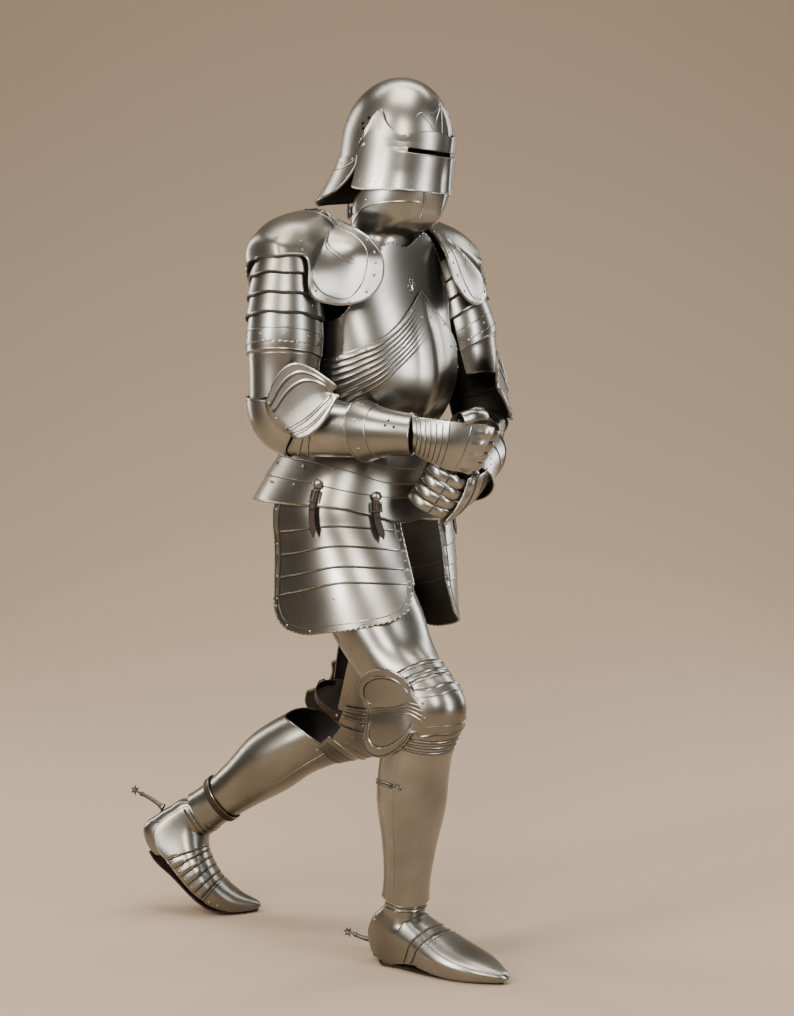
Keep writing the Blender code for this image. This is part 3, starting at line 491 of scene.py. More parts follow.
def winged(form, v0, v1, low, high, h, wing, axes, cup=0.5):
    """Place function for a joint's cup that runs on at the side as a two-lobed wing.

    Wing rows give the upper edge, the lower edge and how far the middle is drawn back, in the plane of the
    axes, and the distance out.
    """
    joint, e1, e2, side = (vec(a) for a in axes)
    knots = []
    for row in wing:
        x1, y1, x2, y2, xm, ym, out = row
        knots.append([*(joint + e1 * x1 + e2 * y1 + side * out), *(joint + e1 * xm + e2 * ym + side * out),
                      *(joint + e1 * x2 + e2 * y2 + side * out)])
    edge = math.radians(v1)
    vv = np.full(3, edge)
    a, b = low(np.array([v1]))[0], high(np.array([v1]))[0]
    first = lift(form, np.array([a, (a + b) / 2, b]), vv, h)
    table = [[0.0, *first.ravel()]] + [[i + 1.0, *k] for i, k in enumerate(knots)]

    def place(p, q):
        on_cup = band(form, v0, v1, low, high, h)(np.clip(p / cup, 0, 1), q)
        t = np.clip((p - cup) / (1 - cup), 0, 1) * len(knots)
        cut = smooth(table, t).reshape(-1, 3, 3)
        w0 = ((1 - q) * (1 - 2 * q))[:, None]
        w1 = (4 * q * (1 - q))[:, None]
        w2 = (q * (2 * q - 1))[:, None]
        on_wing = cut[:, 0] * w0 + cut[:, 1] * w1 + cut[:, 2] * w2
        return np.where((p <= cup + 1e-9)[:, None], on_cup, on_wing)

    return place


def weave(rows):
    """Place function for a sheet through a table of rows of points."""
    rows = np.array(rows, dtype=float)
    count, across = rows.shape[:2]
    lengthwise = np.hstack([np.arange(count)[:, None], rows.reshape(count, -1)])

    def place(p, q):
        cut = smooth(lengthwise, p * (count - 1)).reshape(-1, across, 3)
        slope = np.gradient(cut, axis=1)
        t = np.clip(q, 0, 1) * (across - 1)
        i = np.clip(np.floor(t).astype(int), 0, across - 2)
        s = (t - i)[:, None]
        k = np.arange(len(t))
        return joined(s, cut[k, i], cut[k, i + 1], slope[k, i], slope[k, i + 1])

    return place


# ---------------------------------------------------------------- materials
def fresh_material(name):
    mat = bpy.data.materials.new(name)
    mat.use_nodes = True
    nodes = mat.node_tree.nodes
    return mat, nodes, mat.node_tree.links, nodes["Principled BSDF"]


def noise(nodes, links, scale, detail, rough=0.5, stretch=None):
    """Noise on object coordinates, drawn out by `stretch` where given."""
    where = nodes.new("ShaderNodeTexCoord")
    tex = nodes.new("ShaderNodeTexNoise")
    tex.inputs["Scale"].default_value = scale
    tex.inputs["Detail"].default_value = detail
    tex.inputs["Roughness"].default_value = rough
    source = where.outputs["Object"]
    if stretch:
        turned = nodes.new("ShaderNodeMapping")
        turned.inputs["Scale"].default_value = stretch
        links.new(source, turned.inputs["Vector"])
        source = turned.outputs["Vector"]
    links.new(source, tex.inputs["Vector"])
    return tex.outputs["Fac"]


def ramp(nodes, links, source, low, high, first, last):
    """Values from first to last as the source goes from low to high."""
    part = nodes.new("ShaderNodeMapRange")
    part.inputs["From Min"].default_value = low
    part.inputs["From Max"].default_value = high
    part.inputs["To Min"].default_value = first
    part.inputs["To Max"].default_value = last
    links.new(source, part.inputs["Value"])
    return part.outputs["Result"]


def blend_colours(nodes, links, amount, first, last):
    part = nodes.new("ShaderNodeMix")
    part.data_type = "RGBA"
    part.inputs["A"].default_value = (*first, 1)
    part.inputs["B"].default_value = (*last, 1)
    links.new(amount, part.inputs["Factor"])
    return part.outputs["Result"]


def dented(nodes, links, shader, layers):
    """Bump from several heights: (source, strength, distance)."""
    normal = None
    for source, strength, distance in layers:
        part = nodes.new("ShaderNodeBump")
        part.inputs["Strength"].default_value = strength
        part.inputs["Distance"].default_value = distance
        links.new(source, part.inputs["Height"])
        if normal is not None:
            links.new(normal, part.inputs["Normal"])
        normal = part.outputs["Normal"]
    links.new(normal, shader.inputs["Normal"])


def steel_material(name, bright, dull, smooth_rough, dull_rough, spread):
    """Worn polished steel: bright metal with dull patches, and soft dents."""
    mat, nodes, links, shader = fresh_material(name)
    patches = noise(nodes, links, 7.0, 3.0, 0.5)
    worn = ramp(nodes, links, patches, 0.5 - spread, 0.5 + spread, 0.0, 1.0)
    stains = noise(nodes, links, 3.2, 3.0, 0.5)
    toned = blend_colours(nodes, links, worn, bright, dull)
    part = nodes.new("ShaderNodeMix")
    part.data_type = "RGBA"
    part.blend_type = "MULTIPLY"
    part.inputs["B"].default_value = (0.62, 0.58, 0.52, 1)
    links.new(toned, part.inputs["A"])
    links.new(ramp(nodes, links, stains, 0.36, 0.68, 0.0, 0.8), part.inputs["Factor"])
    links.new(part.outputs["Result"], shader.inputs["Base Color"])
    links.new(ramp(nodes, links, worn, 0.0, 1.0, smooth_rough, dull_rough), shader.inputs["Roughness"])
    shader.inputs["Metallic"].default_value = 1.0
    beaten = noise(nodes, links, 9.0, 1.0, 0.4)
    dented(nodes, links, shader, [(beaten, 0.12, 0.0020)])
    return mat


def leather_material(name, colour):
    mat, nodes, links, shader = fresh_material(name)
    grain = noise(nodes, links, 260.0, 4.0, 0.6)
    worn = noise(nodes, links, 40.0, 5.0, 0.6)
    light = tuple(min(1.0, c * 1.8) for c in colour)
    links.new(blend_colours(nodes, links, ramp(nodes, links, worn, 0.42, 0.68, 0.0, 1.0), colour, light),
              shader.inputs["Base Color"])
    links.new(ramp(nodes, links, grain, 0.3, 0.7, 0.45, 0.65), shader.inputs["Roughness"])
    shader.inputs["Specular IOR Level"].default_value = 0.2
    dented(nodes, links, shader, [(grain, 0.35, 0.0006), (worn, 0.3, 0.0010)])
    return mat


MATERIALS = {}


def finishes():
    """The four finishes of the suit, made once."""
    if not MATERIALS:
        colours = bpy.context.scene.armour_colours
        steel, tarnish = tuple(colours.steel), tuple(colours.tarnish)
        MATERIALS["steel"] = steel_material("polished_steel", steel, tarnish, 0.25, 0.36, 0.26)
        # The inside finish serves the real inside of the plates and also the dark lines that stand in for the
        # shade in gaps and under edges (painted shade).
        MATERIALS["inside"] = steel_material(
            "rough_inside_and_painted_gap_shade", tuple(colours.inside), tuple(0.5 * c for c in colours.inside), 0.55, 0.75, 0.2)
        MATERIALS["iron"] = steel_material("buckle_iron", tuple(0.42 * c for c in steel),
                                           tuple(0.3 * c for c in tarnish), 0.38, 0.6, 0.2)
        MATERIALS["leather"] = leather_material("strap_leather", tuple(colours.leather))
    return MATERIALS


# ---------------------------------------------------------------- modelling
def bare():
    if bpy.context.object and bpy.context.object.mode != "OBJECT":
        bpy.ops.object.mode_set(mode="OBJECT")
    bpy.ops.object.select_all(action="DESELECT")


def only(obj):
    bare()
    obj.select_set(True)
    bpy.context.view_layer.objects.active = obj


def in_edit(obj, *steps):
    """Runs edit-mode steps on the whole of one mesh."""
    only(obj)
    bpy.ops.object.mode_set(mode="EDIT")
    bpy.ops.mesh.select_all(action="SELECT")
    for step in steps:
        step()
    bpy.ops.object.mode_set(mode="OBJECT")


def merge():
    bpy.ops.mesh.remove_doubles(threshold=2e-6)


def outward():
    bpy.ops.mesh.normals_make_consistent(inside=False)


def grid(points, closed=False):
    """A grid mesh whose corners are points[row, column]; closed merges its ends and poles."""
    rows, cols = points.shape[0] - 1, points.shape[1] - 1
    bare()
    bpy.ops.mesh.primitive_grid_add(x_subdivisions=cols, y_subdivisions=rows, size=1, calc_uvs=False)
    obj = bpy.context.object
    mesh = obj.data
    flat = np.empty(len(mesh.vertices) * 3)
    mesh.vertices.foreach_get("co", flat)
    flat = flat.reshape(-1, 3) + 0.5
    at_col = np.round(flat[:, 0] * cols).astype(int)
    at_row = np.round(flat[:, 1] * rows).astype(int)
    mesh.vertices.foreach_set("co", points[at_row, at_col].ravel())
    mesh.update()
    if closed:
        in_edit(obj, merge)
    return obj


def facing(obj, core):
    """Sum of how far the faces look away from the core point."""
    count = len(obj.data.polygons)
    centre, normal, area = np.empty(count * 3), np.empty(count * 3), np.empty(count)
    obj.data.polygons.foreach_get("center", centre)
    obj.data.polygons.foreach_get("normal", normal)
    obj.data.polygons.foreach_get("area", area)
    away = centre.reshape(-1, 3) - vec(core)
    return float(np.sum(np.sum(away * normal.reshape(-1, 3), axis=1) * area))


def modifier(obj, kind, **settings):
    only(obj)
    bpy.ops.object.modifier_add(type=kind)
    made = obj.modifiers[-1]
    for key, value in settings.items():
        setattr(made, key, value)
    bpy.ops.object.modifier_apply(modifier=made.name)


def coat(obj, *kinds):
    for kind in kinds:
        obj.data.materials.append(finishes()[kind])


def drilled(obj, sides, radius, depth, rotation, place=(0, 0, 0), *kinds):
    """Cuts a round hole through a mesh; kinds are the finishes of its wall, or none for the mesh's own."""
    bare()
    bpy.ops.mesh.primitive_cylinder_add(vertices=sides, radius=radius, depth=depth, location=place,
                                        rotation=rotation)
    drill = bpy.context.object
    coat(drill, *kinds)
    modifier(obj, "BOOLEAN", operation="DIFFERENCE", solver="EXACT", object=drill)
    bpy.data.objects.remove(drill)


def tube(points, normals, radii, sides=6, closed=False, rope=None, kind="steel"):
    """A tube along points; radii is one number or one a point; rope is (strands, pitch, depth)."""
    points, normals = np.asarray(points), np.asarray(normals)
    radii = np.broadcast_to(np.asarray(radii, dtype=float), (len(points),)).copy()
    if closed:
        run = np.roll(points, -1, axis=0) - np.roll(points, 1, axis=0)
    else:
        run = np.gradient(points, axis=0)
        radii[[0, -1]] = 0.0
    run = units(run)
    side = units(np.cross(run, normals))
    up = np.cross(side, run)
    theta = np.linspace(0, 2 * math.pi, sides + 1)
    theta[-1] = 0.0
    size = radii[:, None] * np.ones(sides + 1)
    if rope:
        strands, pitch, depth = rope
        twist = strands * theta[None, :] - 2 * math.pi * gone_along(points)[:, None] / pitch
        size = size * (1 - depth + depth * np.cos(twist))
    ring = (
        points[:, None] + side[:, None] * (size * np.cos(theta))[:, :, None]
        + up[:, None] * (size * np.sin(theta))[:, :, None]
    )
    if closed:
        ring = np.concatenate([ring, ring[:1]])
    obj = grid(ring, closed=True)
    in_edit(obj, outward)
    coat(obj, kind)
    return obj


def even(points, step, closed=False):
    """Points spaced evenly along a polyline."""
    points = np.asarray(points, dtype=float)
    if closed:
        points = np.vstack([points, points[:1]])
    gone = gone_along(points)
    count = max(3, int(round(gone[-1] / step)))
    at = np.linspace(0, gone[-1], count + 1)
    if closed:
        at = at[:-1]
    return np.stack([np.interp(at, gone, points[:, i]) for i in range(3)], axis=1)


def rivet_head():
    """One domed rivet head on +Z, modelled once."""
    bare()
    bpy.ops.mesh.primitive_uv_sphere_add(segments=8, ring_count=5, radius=1.0)
    head = bpy.context.object
    in_edit(
        head,
        lambda: bpy.ops.transform.resize(value=(1, 1, 0.62)),
        lambda: bpy.ops.mesh.bisect(plane_co=(0, 0, -0.12), plane_no=(0, 0, 1), clear_inner=True,
                                    use_fill=True),
        outward,
    )
    coat(head, "steel")
    head.name = "rivet_master"
    return head


MASTERS = {}


def stud(point, normal, radius, kind="steel"):
    """A copy of the rivet head standing on a point."""
    if "rivet" not in MASTERS:
        MASTERS["rivet"] = rivet_head()
        MASTERS["rivet"].hide_render = True
    copy = MASTERS["rivet"].copy()
    copy.data = MASTERS["rivet"].data.copy()
    copy.hide_render = False
    bpy.context.scene.collection.objects.link(copy)
    turn = Vector(normal).to_track_quat("Z", "Y").to_matrix().to_4x4()
    copy.data.transform(Matrix.Translation(Vector(point)) @ turn @ Matrix.Scale(radius, 4))
    if kind != "steel":
        copy.data.materials[0] = finishes()[kind]
    return copy


def join(obj, extras):
    if extras:
        only(obj)
        for extra in extras:
            extra.select_set(True)
        bpy.ops.object.join()
    return obj


def ready(obj, name, nodes, body="suit", angle=38):
    """Names a finished piece, smooths it and puts it in the frame."""
    only(obj)
    bpy.ops.object.shade_smooth_by_angle(angle=math.radians(angle))
    obj.name = obj.data.name = name
    for node in ([nodes] if isinstance(nodes, str) else nodes):
        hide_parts(node)
    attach(obj, body)
    return obj


def stops(count, *lines, gap=0.0016):
    """Even fractions, with a close pair at each line so that a step there is sharp."""
    at = list(np.linspace(0, 1, count + 1))
    for line in lines:
        at = [a for a in at if abs(a - line) > 0.6 / count or a in (0.0, 1.0)]
        at += [line - gap, line + gap]
    return np.array(sorted(at))


def clinker(lines, depth):
    """Relief in q that climbs over each lame and drops at the next line."""
    edges = np.array([0.0, *lines, 1.0])

    def relief(p, q):
        i = np.clip(np.searchsorted(edges, q, side="right") - 1, 0, len(edges) - 2)
        rise = np.clip((q - edges[i]) / (edges[i + 1] - edges[i]), 0, 1)
        return np.where(i < len(edges) - 2, depth * rise, 0.0)

    return relief


BOLD = 1.3               # raised lines and their dark partners of painted shade are drawn this much thicker
RIVET_BOLD = 1.15        # and rivet heads this much larger
FADE = 0.18              # part of a fading line, at each end, over which it thins out
ROPE = (3, 0.0105, 0.34)   # strands, pitch and depth of a roped edge
ROPE_STEP = 0.0015
ROPE_SUNK, RIM_SUNK = -0.0008, -0.0009   # how deep roped and turned edges lie in their plate
ARRIS = 0.0004           # flat on each sharp edge of a plate

# edges of a plate as (p, q) spots: p runs across it, q from its top down
TOP, BOTTOM = [(0, 0), (1, 0)], [(0, 1), (1, 1)]
NEAR, FAR = [(0, 0), (0, 1)], [(1, 0), (1, 1)]
BUT_TOP = [(0, 0), (0, 1), (1, 1), (1, 0)]
ALL_ROUND = [(0, 0), (1, 0), (1, 1), (0, 1)]


def level_row(q, inset=0.01):
    """A level row of spots at q, from one side of a plate to the other."""
    return [(p, q) for p in (inset, 0.25, 0.5, 0.75, 1 - inset)]


class Plate:
    """A sheet on place(p, q) with its relief, and the lines, edges and rivets laid on it."""

    def __init__(self, place, core, relief=None):
        self.place, self.core, self.relief = place, vec(core), relief
        self.way = 1.0
        p, q = (a.ravel() for a in np.meshgrid(np.linspace(0.02, 0.98, 13), np.linspace(0.04, 0.98, 13)))
        away = place(p, q) - self.core
        self.way = math.copysign(1.0, np.sum(away * self.normal(p, q)))
        self.extras = []
        self.obj = None

    def normal(self, p, q):
        e = 1e-3
        across = self.place(p + e, q) - self.place(p - e, q)
        along = self.place(p, q + e) - self.place(p, q - e)
        return self.way * units(np.cross(across, along))

    def at(self, p, q, h=0.0):
        p, q = np.broadcast_arrays(np.asarray(p, dtype=float), np.asarray(q, dtype=float))
        if self.relief is not None:
            h = h + self.relief(p, q)
        return self.place(p, q) + self.normal(p, q) * np.reshape(h, (-1, 1))

    def sheet(self, cols, rows, closed=False, wall=None, kinds=("steel", "inside"), cut=None):
        """The plate itself; cols and rows are counts or lists of fractions."""
        p = stops(cols) if isinstance(cols, int) else np.asarray(cols)
        q = stops(rows) if isinstance(rows, int) else np.asarray(rows)
        at_q, at_p = np.meshgrid(q, p, indexing="ij")
        points = self.at(at_p.ravel(), at_q.ravel()).reshape(len(q), len(p), 3)
        if closed:
            points[:, -1] = points[:, 0]
        self.obj = grid(points, closed)
        if cut is not None:
            self.cut_out(p, q, cut)
        if facing(self.obj, self.core) < 0:
            self.obj.data.flip_normals()
        coat(self.obj, *kinds)
        thick = wall or sizes().wall
        modifier(self.obj, "SOLIDIFY", thickness=thick, offset=-1, material_offset=len(kinds) - 1,
                 material_offset_rim=0)
        modifier(self.obj, "BEVEL", width=ARRIS, segments=1, limit_method="ANGLE",
                 angle_limit=math.radians(70))
        return self

    def cut_out(self, p, q, cut):
        """Deletes the faces whose middle lies in the box cut = (p0, p1, q0, q1)."""
        columns = len(p) - 1
        middle_p, middle_q = (p[1:] + p[:-1]) / 2, (q[1:] + q[:-1]) / 2
        only(self.obj)
        bpy.ops.object.mode_set(mode="EDIT")
        bpy.ops.mesh.select_mode(type="FACE")
        bpy.ops.mesh.select_all(action="DESELECT")
        bpy.ops.object.mode_set(mode="OBJECT")
        for face in self.obj.data.polygons:
            a, b = middle_p[face.index % columns], middle_q[face.index // columns]
            face.select = cut[0] < a < cut[1] and cut[2] < b < cut[3]
        bpy.ops.object.mode_set(mode="EDIT")
        bpy.ops.mesh.delete(type="FACE")
        bpy.ops.mesh.select_mode(type="VERT")
        bpy.ops.object.mode_set(mode="OBJECT")

    def trace(self, spots, curved):
        spots = np.array(spots, dtype=float)
        t = np.linspace(0, len(spots) - 1, 60 * (len(spots) - 1) + 1)
        if curved and len(spots) > 2:
            return through(spots, t)
        return np.stack([np.interp(t, np.arange(len(spots)), spots[:, i]) for i in range(2)], axis=1)

    def line(self, spots, radius=None, h=0.0, curved=True, closed=False, step=0.006, rope=None, sides=5,
             fade=False, kind="steel"):
        """A raised line through (p, q) spots; with the inside finish it is a dark line that stands in for the
        shade in a gap or under an edge (painted shade).
        """
        radius = radius or sizes().line
        if rope is None and kind in ("steel", "inside"):
            radius *= BOLD
        pq = self.trace(spots, curved)
        points = even(self.at(pq[:, 0], pq[:, 1], h), step, closed)
        rough = self.at(pq[:, 0], pq[:, 1], h)
        normal = self.normal(pq[:, 0], pq[:, 1])
        gone = gone_along(rough)
        at = np.linspace(0, gone[-1], len(points) + closed)[:len(points)]
        normals = np.stack([np.interp(at, gone, normal[:, i]) for i in range(3)], axis=1)
        radii = np.full(len(points), radius)
        if fade:
            radii = radius * np.clip(np.minimum(at, gone[-1] - at) / (FADE * gone[-1]), 0, 1) ** 0.6
        self.extras.append(tube(points, normals, radii, sides, closed, rope, kind))
        return self

    def shaded(self, spots, radius, h, beside, shade_radius, shade_h, fade=False):
        """A raised line, and the dark line `beside` it, (p, q) away: painted shade, a dark tube standing in
        for the shadow along the raised edge.
        """
        self.line(spots, radius, h, fade=fade)
        self.line([(p + beside[0], q + beside[1]) for p, q in spots], shade_radius, shade_h, fade=fade, kind="inside")

    def edge(self, spots, radius=None, closed=False, rope=False, step=0.004):
        """A turned or roped edge through straight runs of (p, q) spots."""
        if rope:
            return self.line(spots, radius or sizes().rope, ROPE_SUNK, False, closed, ROPE_STEP, ROPE, 8)
        return self.line(spots, radius or sizes().rim, RIM_SUNK, False, closed, step)

    def rims(self, top, bottom):
        """Turned upper and lower edges of a closed plate."""
        return self.edge(TOP, top, closed=True).edge(BOTTOM, bottom, closed=True)

    def sides(self, radius=0.0010):
        """Turned edges at the two ends."""
        return self.edge(NEAR, radius).edge(FAR, radius)

    def rivets(self, spots, radius=None, kind="steel"):
        spots = np.array(spots, dtype=float)
        radius = RIVET_BOLD * (radius or sizes().rivet)
        points = self.at(spots[:, 0], spots[:, 1], -0.0002)
        normals = self.normal(spots[:, 0], spots[:, 1])
        self.extras += [stud(point, normal, radius, kind) for point, normal in zip(points, normals)]
        return self

    def pierce(self, spots, radius):
        """Round holes through the plate."""
        spots = np.array(spots, dtype=float)
        points, normals = self.at(spots[:, 0], spots[:, 1]), self.normal(spots[:, 0], spots[:, 1])
        for point, normal in zip(points, normals):
            turn = Vector(normal).to_track_quat("Z", "Y").to_euler()
            drilled(self.obj, 14, radius, 0.02, turn, point, "inside")
        return self

    def done(self, name, nodes=None, body="suit", slot="steel"):
        return ready(join(self.obj, self.extras), name, nodes or name, body)


# ---------------------------------------------------------------- head
VISOR_EDGE = mirrored((0, 0.86), (25, 0.82), (45, 0.85), (62, 0.89), (77, 0.81), (90, 0.70), (94, 0.78),
                      (99, 0.96), (103, 1.12))
VISOR_COLUMNS = [-103, -94, -82, -66, -52, -39, -26, -13, 0, 13, 26, 39, 52, 66, 82, 94, 103]
SLOT_TOP, SLOT_BOTTOM, SLOT_HALF = 0.985, 1.060, 52
VISOR_OFF = 0.0056      # how far the visor stands off the bowl, so that it can turn up


def ring_of_spots(p, q, wide, high, count):
    """Spots round an oval about (p, q); the last is the first again."""
    return [(p + wide * math.cos(a), q + high * math.sin(a)) for a in np.linspace(0, 2 * math.pi, count)]


def both(spots):
    """Spots and their mirror images about p = 0.5."""
    return [*spots, *[(1 - p, q) for p, q in spots]]


def other(spots):
    return [(1 - p, q) for p, q in spots]


def upended(spots):
    return [(p, 1 - q) for p, q in spots]


def skull():
    edge = mirrored((0, 0.935), (50, 0.935), (64, 0.985), (78, 1.10), (95, 1.25), (125, 1.44), (180, 1.47))
    plate = Plate(band(head_form(), -180, 180, level(0.0), edge), HEAD)
    plate.sheet(108, 40, closed=True)
    plate.pierce(both([(0.221, 0.600), (0.205, 0.628), (0.226, 0.652), (0.212, 0.672)]), 0.0029)
    plate.rivets([(0.488, 0.560), (0.156, 0.975), (0.844, 0.975)], 0.0024)
    leaf = [(0.369, 0.788), (0.381, 0.715), (0.405, 0.700), (0.432, 0.690), (0.455, 0.655), (0.486, 0.560)]
    rays = [[(0.486, 0.58), (0.455, 0.72), (0.440, 0.84)], [(0.488, 0.58), (0.475, 0.74), (0.468, 0.90)],
            [(0.381, 0.715), (0.415, 0.80), (0.435, 0.88)]]
    for path in [leaf, *rays]:
        for half in (path, other(path)):
            plate.line(half, 0.0007, -0.0001, fade=True)
    plate.done("sallet_skull")


def flared(form):
    def point(u, v):
        grow = np.clip((u - 1.35) / 0.8, 0, 1.2) ** 1.4
        back = 0.25 + 0.75 * np.clip(-np.cos(v), 0, 1) ** 1.5
        return form(u, v, 0.27 * grow * back)
    return point


def tail():
    low = mirrored((104, 1.44), (110, 1.68), (120, 1.92), (140, 2.14), (180, 2.34))
    top = mirrored((104, 1.24), (125, 1.34), (180, 1.36))
    place = band(flared(head_form()), 104, 256, lambda v: top(180 - np.abs(180 - v)),
                 lambda v: low(180 - np.abs(180 - v)), STEP)
    plate = Plate(place, HEAD)
    plate.sheet(76, 28)
    plate.edge(BUT_TOP)
    plate.line([(0, 0.35), (0.5, 0.30), (1, 0.35)], 0.0008)
    plate.rivets([(p, 0.90) for p in np.linspace(0.05, 0.95, 11)], 0.0024)
    plate.rivets([(p, 0.17) for p in np.linspace(0.04, 0.96, 9)], 0.0024)
    plate.done("sallet_tail")


def visor_place():
    form = head_form()
    low = mirrored((0, 1.71), (60, 1.76), (85, 1.84), (95, 1.86), (103, 1.84))

    def place(p, q):
        v = np.interp(p, np.linspace(0, 1, len(VISOR_COLUMNS)), VISOR_COLUMNS)
        upper, lower = VISOR_EDGE(v), low(v)
        row = np.clip(5 * q, 0, 5)
        beside = np.maximum(np.full_like(v, SLOT_TOP), upper * 0.3 + SLOT_BOTTOM * 0.7)
        at_top = SLOT_TOP + (beside - SLOT_TOP) * np.clip((np.abs(v) - SLOT_HALF) / 8, 0, 1)
        rows = [upper, np.minimum(upper * 0.4 + SLOT_TOP * 0.6, SLOT_TOP), at_top,
                np.full_like(v, SLOT_BOTTOM), (SLOT_BOTTOM + lower) / 2, lower]
        i = np.clip(np.floor(row).astype(int), 0, 4)
        a, b = np.choose(i, rows[:5]), np.choose(i, rows[1:])
        u = a + (b - a) * (row - i)
        ledge = 0.0025 * np.clip((75 - np.abs(v)) / 20, 0, 1) * np.clip(row - 2, 0, 1)
        flare = 0.004 * np.clip(row - 4, 0, 1) ** 1.5 + 0.0015 * np.clip(1 - row, 0, 1)
        keel = 0.0030 * np.clip(1 - np.abs(v) / 9, 0, 1) * np.clip(row - 3, 0, 1)
        return lift(form, u, np.radians(v), VISOR_OFF + ledge + flare + keel)

    return place


def visor():
    plate = Plate(visor_place(), HEAD)
    slot = (0.25, 0.75, 0.4, 0.6)
    plate.sheet(112, 40, cut=slot)
    plate.edge([(0.25, 0.6), (0.25, 0.4), (0.75, 0.4), (0.75, 0.6)], 0.0013)
    plate.line([(0.24, 0.61), (0.76, 0.61)], 0.0015, 0.0, False, rope=(2, 0.0045, 0.25), step=0.0010, sides=8)
    plate.edge(TOP, 0.0010)
    plate.line([(0, 1), (1, 1)], 0.0021, -0.0003, False, rope=(2, 0.0060, 0.30), step=0.0012, sides=8)
    plate.rivets([(p, 0.925) for p in np.linspace(0.05, 0.95, 31)], 0.0012)
    plate.rivets(both([(0.037, 0.60)]), 0.0046)
    plate.rivets(both([(0.244, 0.055)]), 0.0030)
    plate.done("sallet_visor", body="visor")


def bevor():
    rim = mirrored((0, 0.468), (50, 0.466), (90, 0.455), (115, 0.430), (128, 0.400))
    form = ring_form(THROAT, 0.92, yaw=HEAD_YAW)
    plate = Plate(band(form, -128, 128, level(0.318), rim), (0, -0.07, 0.40))
    plate.sheet(88, 44)
    plate.edge(BUT_TOP, 0.0014)
    for seam in ([(0.372, 0.99), (0.382, 0.86), (0.405, 0.72), (0.408, 0.60), (0.400, 0.50)],
                 [(0.02, 0.70), (0.16, 0.735), (0.30, 0.73), (0.395, 0.71)]):
        for half in (seam, other(seam)):
            # The dark line beside each seam is painted shade along its edge.
            plate.shaded(half, 0.0012, -0.0002, (-0.005, -0.010), 0.0006, -0.0002)
    plate.rivets(both([(0.131, 0.831), (0.030, 0.875), (0.030, 0.30), (0.16, 0.12)]), 0.0026)
    plate.done("bevor")


# ---------------------------------------------------------------- body
BODY_MIDDLE = (0, -0.02, 0.18)
FAN_LINES = 8


def breastplate():
    neck = curve((-96, 0.200), (-80, 0.204), (-66, 0.215), (-50, 0.262), (-36, 0.324), (-28, 0.348),
                 (-22, 0.352), (-12, 0.343), (-4, 0.346), (4, 0.362), (12, 0.370), (20, 0.362), (28, 0.335),
                 (36, 0.288), (50, 0.242), (66, 0.215), (80, 0.204), (96, 0.200))
    plate = Plate(band(ring_form(TORSO), -90, 90, level(-0.028), neck), BODY_MIDDLE)
    plate.sheet(84, 64)
    plate.edge(BOTTOM, 0.0024, rope=True)
    middle = 0.474
    for p, q, wide, high in ((-0.010, 0.806, 0.0055, 0.0080), (0.010, 0.806, 0.0055, 0.0080),
                             (0.0, 0.828, 0.0060, 0.0120)):
        plate.line(ring_of_spots(middle + p, q, wide, high, 11), 0.0010, step=0.0015)
    plate.line([(middle, 0.780), (middle, 0.815)], 0.0013, step=0.002)
    plate.line([(middle - 0.013, 0.786), (middle, 0.792), (middle + 0.013, 0.786)], 0.0010, step=0.002)
    plate.done("breastplate")


def fan(p):
    """Height fraction of the first fan line on the plackart and the spacing of the rest."""
    t = np.clip(np.abs(2 * p - 1) / 0.85, 0, 1)
    t = t * t * (3 - 2 * t)
    return 0.965 + (0.950 - 0.965) * t, 0.031 + (0.066 - 0.031) * t


def fan_relief(p, q):
    depth = sizes().flute
    first, gap = fan(p)
    k = (first - q) / gap
    crest = np.abs(2 * (k - np.floor(k)) - 1) ** 1.6
    past = np.maximum(k - (FAN_LINES - 1), 0)
    inside = np.clip(1 + 2 * np.minimum(k, 0), 0, 1) * np.clip(1 - 2 * past, 0, 1)
    ridge = 0.0040 * np.clip(1 - np.abs(2 * p - 1) / 0.10, 0, 1) * np.clip((0.98 - q) / 0.2, 0, 1)
    return depth * crest * inside * np.clip((0.98 - 2 * p) / 0.10, 0, 1) + ridge


def plackart():
    top = mirrored((0, 0.262), (6, 0.240), (16, 0.212), (32, 0.180), (55, 0.155), (84, 0.132))
    plate = Plate(band(ring_form(TORSO), -90, 90, level(-0.030), top, 0.0068), BODY_MIDDLE, fan_relief)
    plate.sheet(120, 96)
    plate.edge(BOTTOM, 0.0013)
    for k in range(FAN_LINES):
        along = np.linspace(0.02, 0.478, 9)
        first, gap = fan(along)
        path = list(zip(along, first - k * gap))
        # The dark line beside each fan line is painted shade along the flute's edge.
        plate.shaded(path, 0.0010, -0.0001, (0, -0.010), 0.0008, -0.0003, fade=True)
    studs = [(0.400, 0.972), (0.238, 0.972), (0.119, 0.968), (0.450, 0.978), (0.375, 0.840), (0.244, 0.790),
             (0.484, 0.865)]
    plate.rivets(both(studs), 0.0026)
    plate.done("plackart")


def backplate():
    nape = mirrored((75, 0.196), (87, 0.200), (100, 0.215), (118, 0.275), (134, 0.345), (150, 0.385),
                    (180, 0.392))
    place = band(ring_form(TORSO), 75, 285, level(-0.028), lambda v: nape(180 - np.abs(180 - v)), -0.0045)
    plate = Plate(place, BODY_MIDDLE)
    plate.sheet(88, 56)
    plate.edge(BOTTOM, 0.0019)
    for reach in (0.04, 0.10, 0.17):
        path = [(0.5 - reach * 0.35, 0.10), (0.5 - reach * 0.8, 0.40), (0.5 - reach * 2.0, 0.72)]
        for half in (path, other(path)):
            plate.line(half, 0.0010, fade=True)
    plate.line([(0.5, 0.06), (0.5, 0.93)], 0.0012, fade=True)
    plate.rivets(both([(0.06, 0.93), (0.18, 0.93), (0.30, 0.95), (0.42, 0.96)]))
    plate.done("backplate")


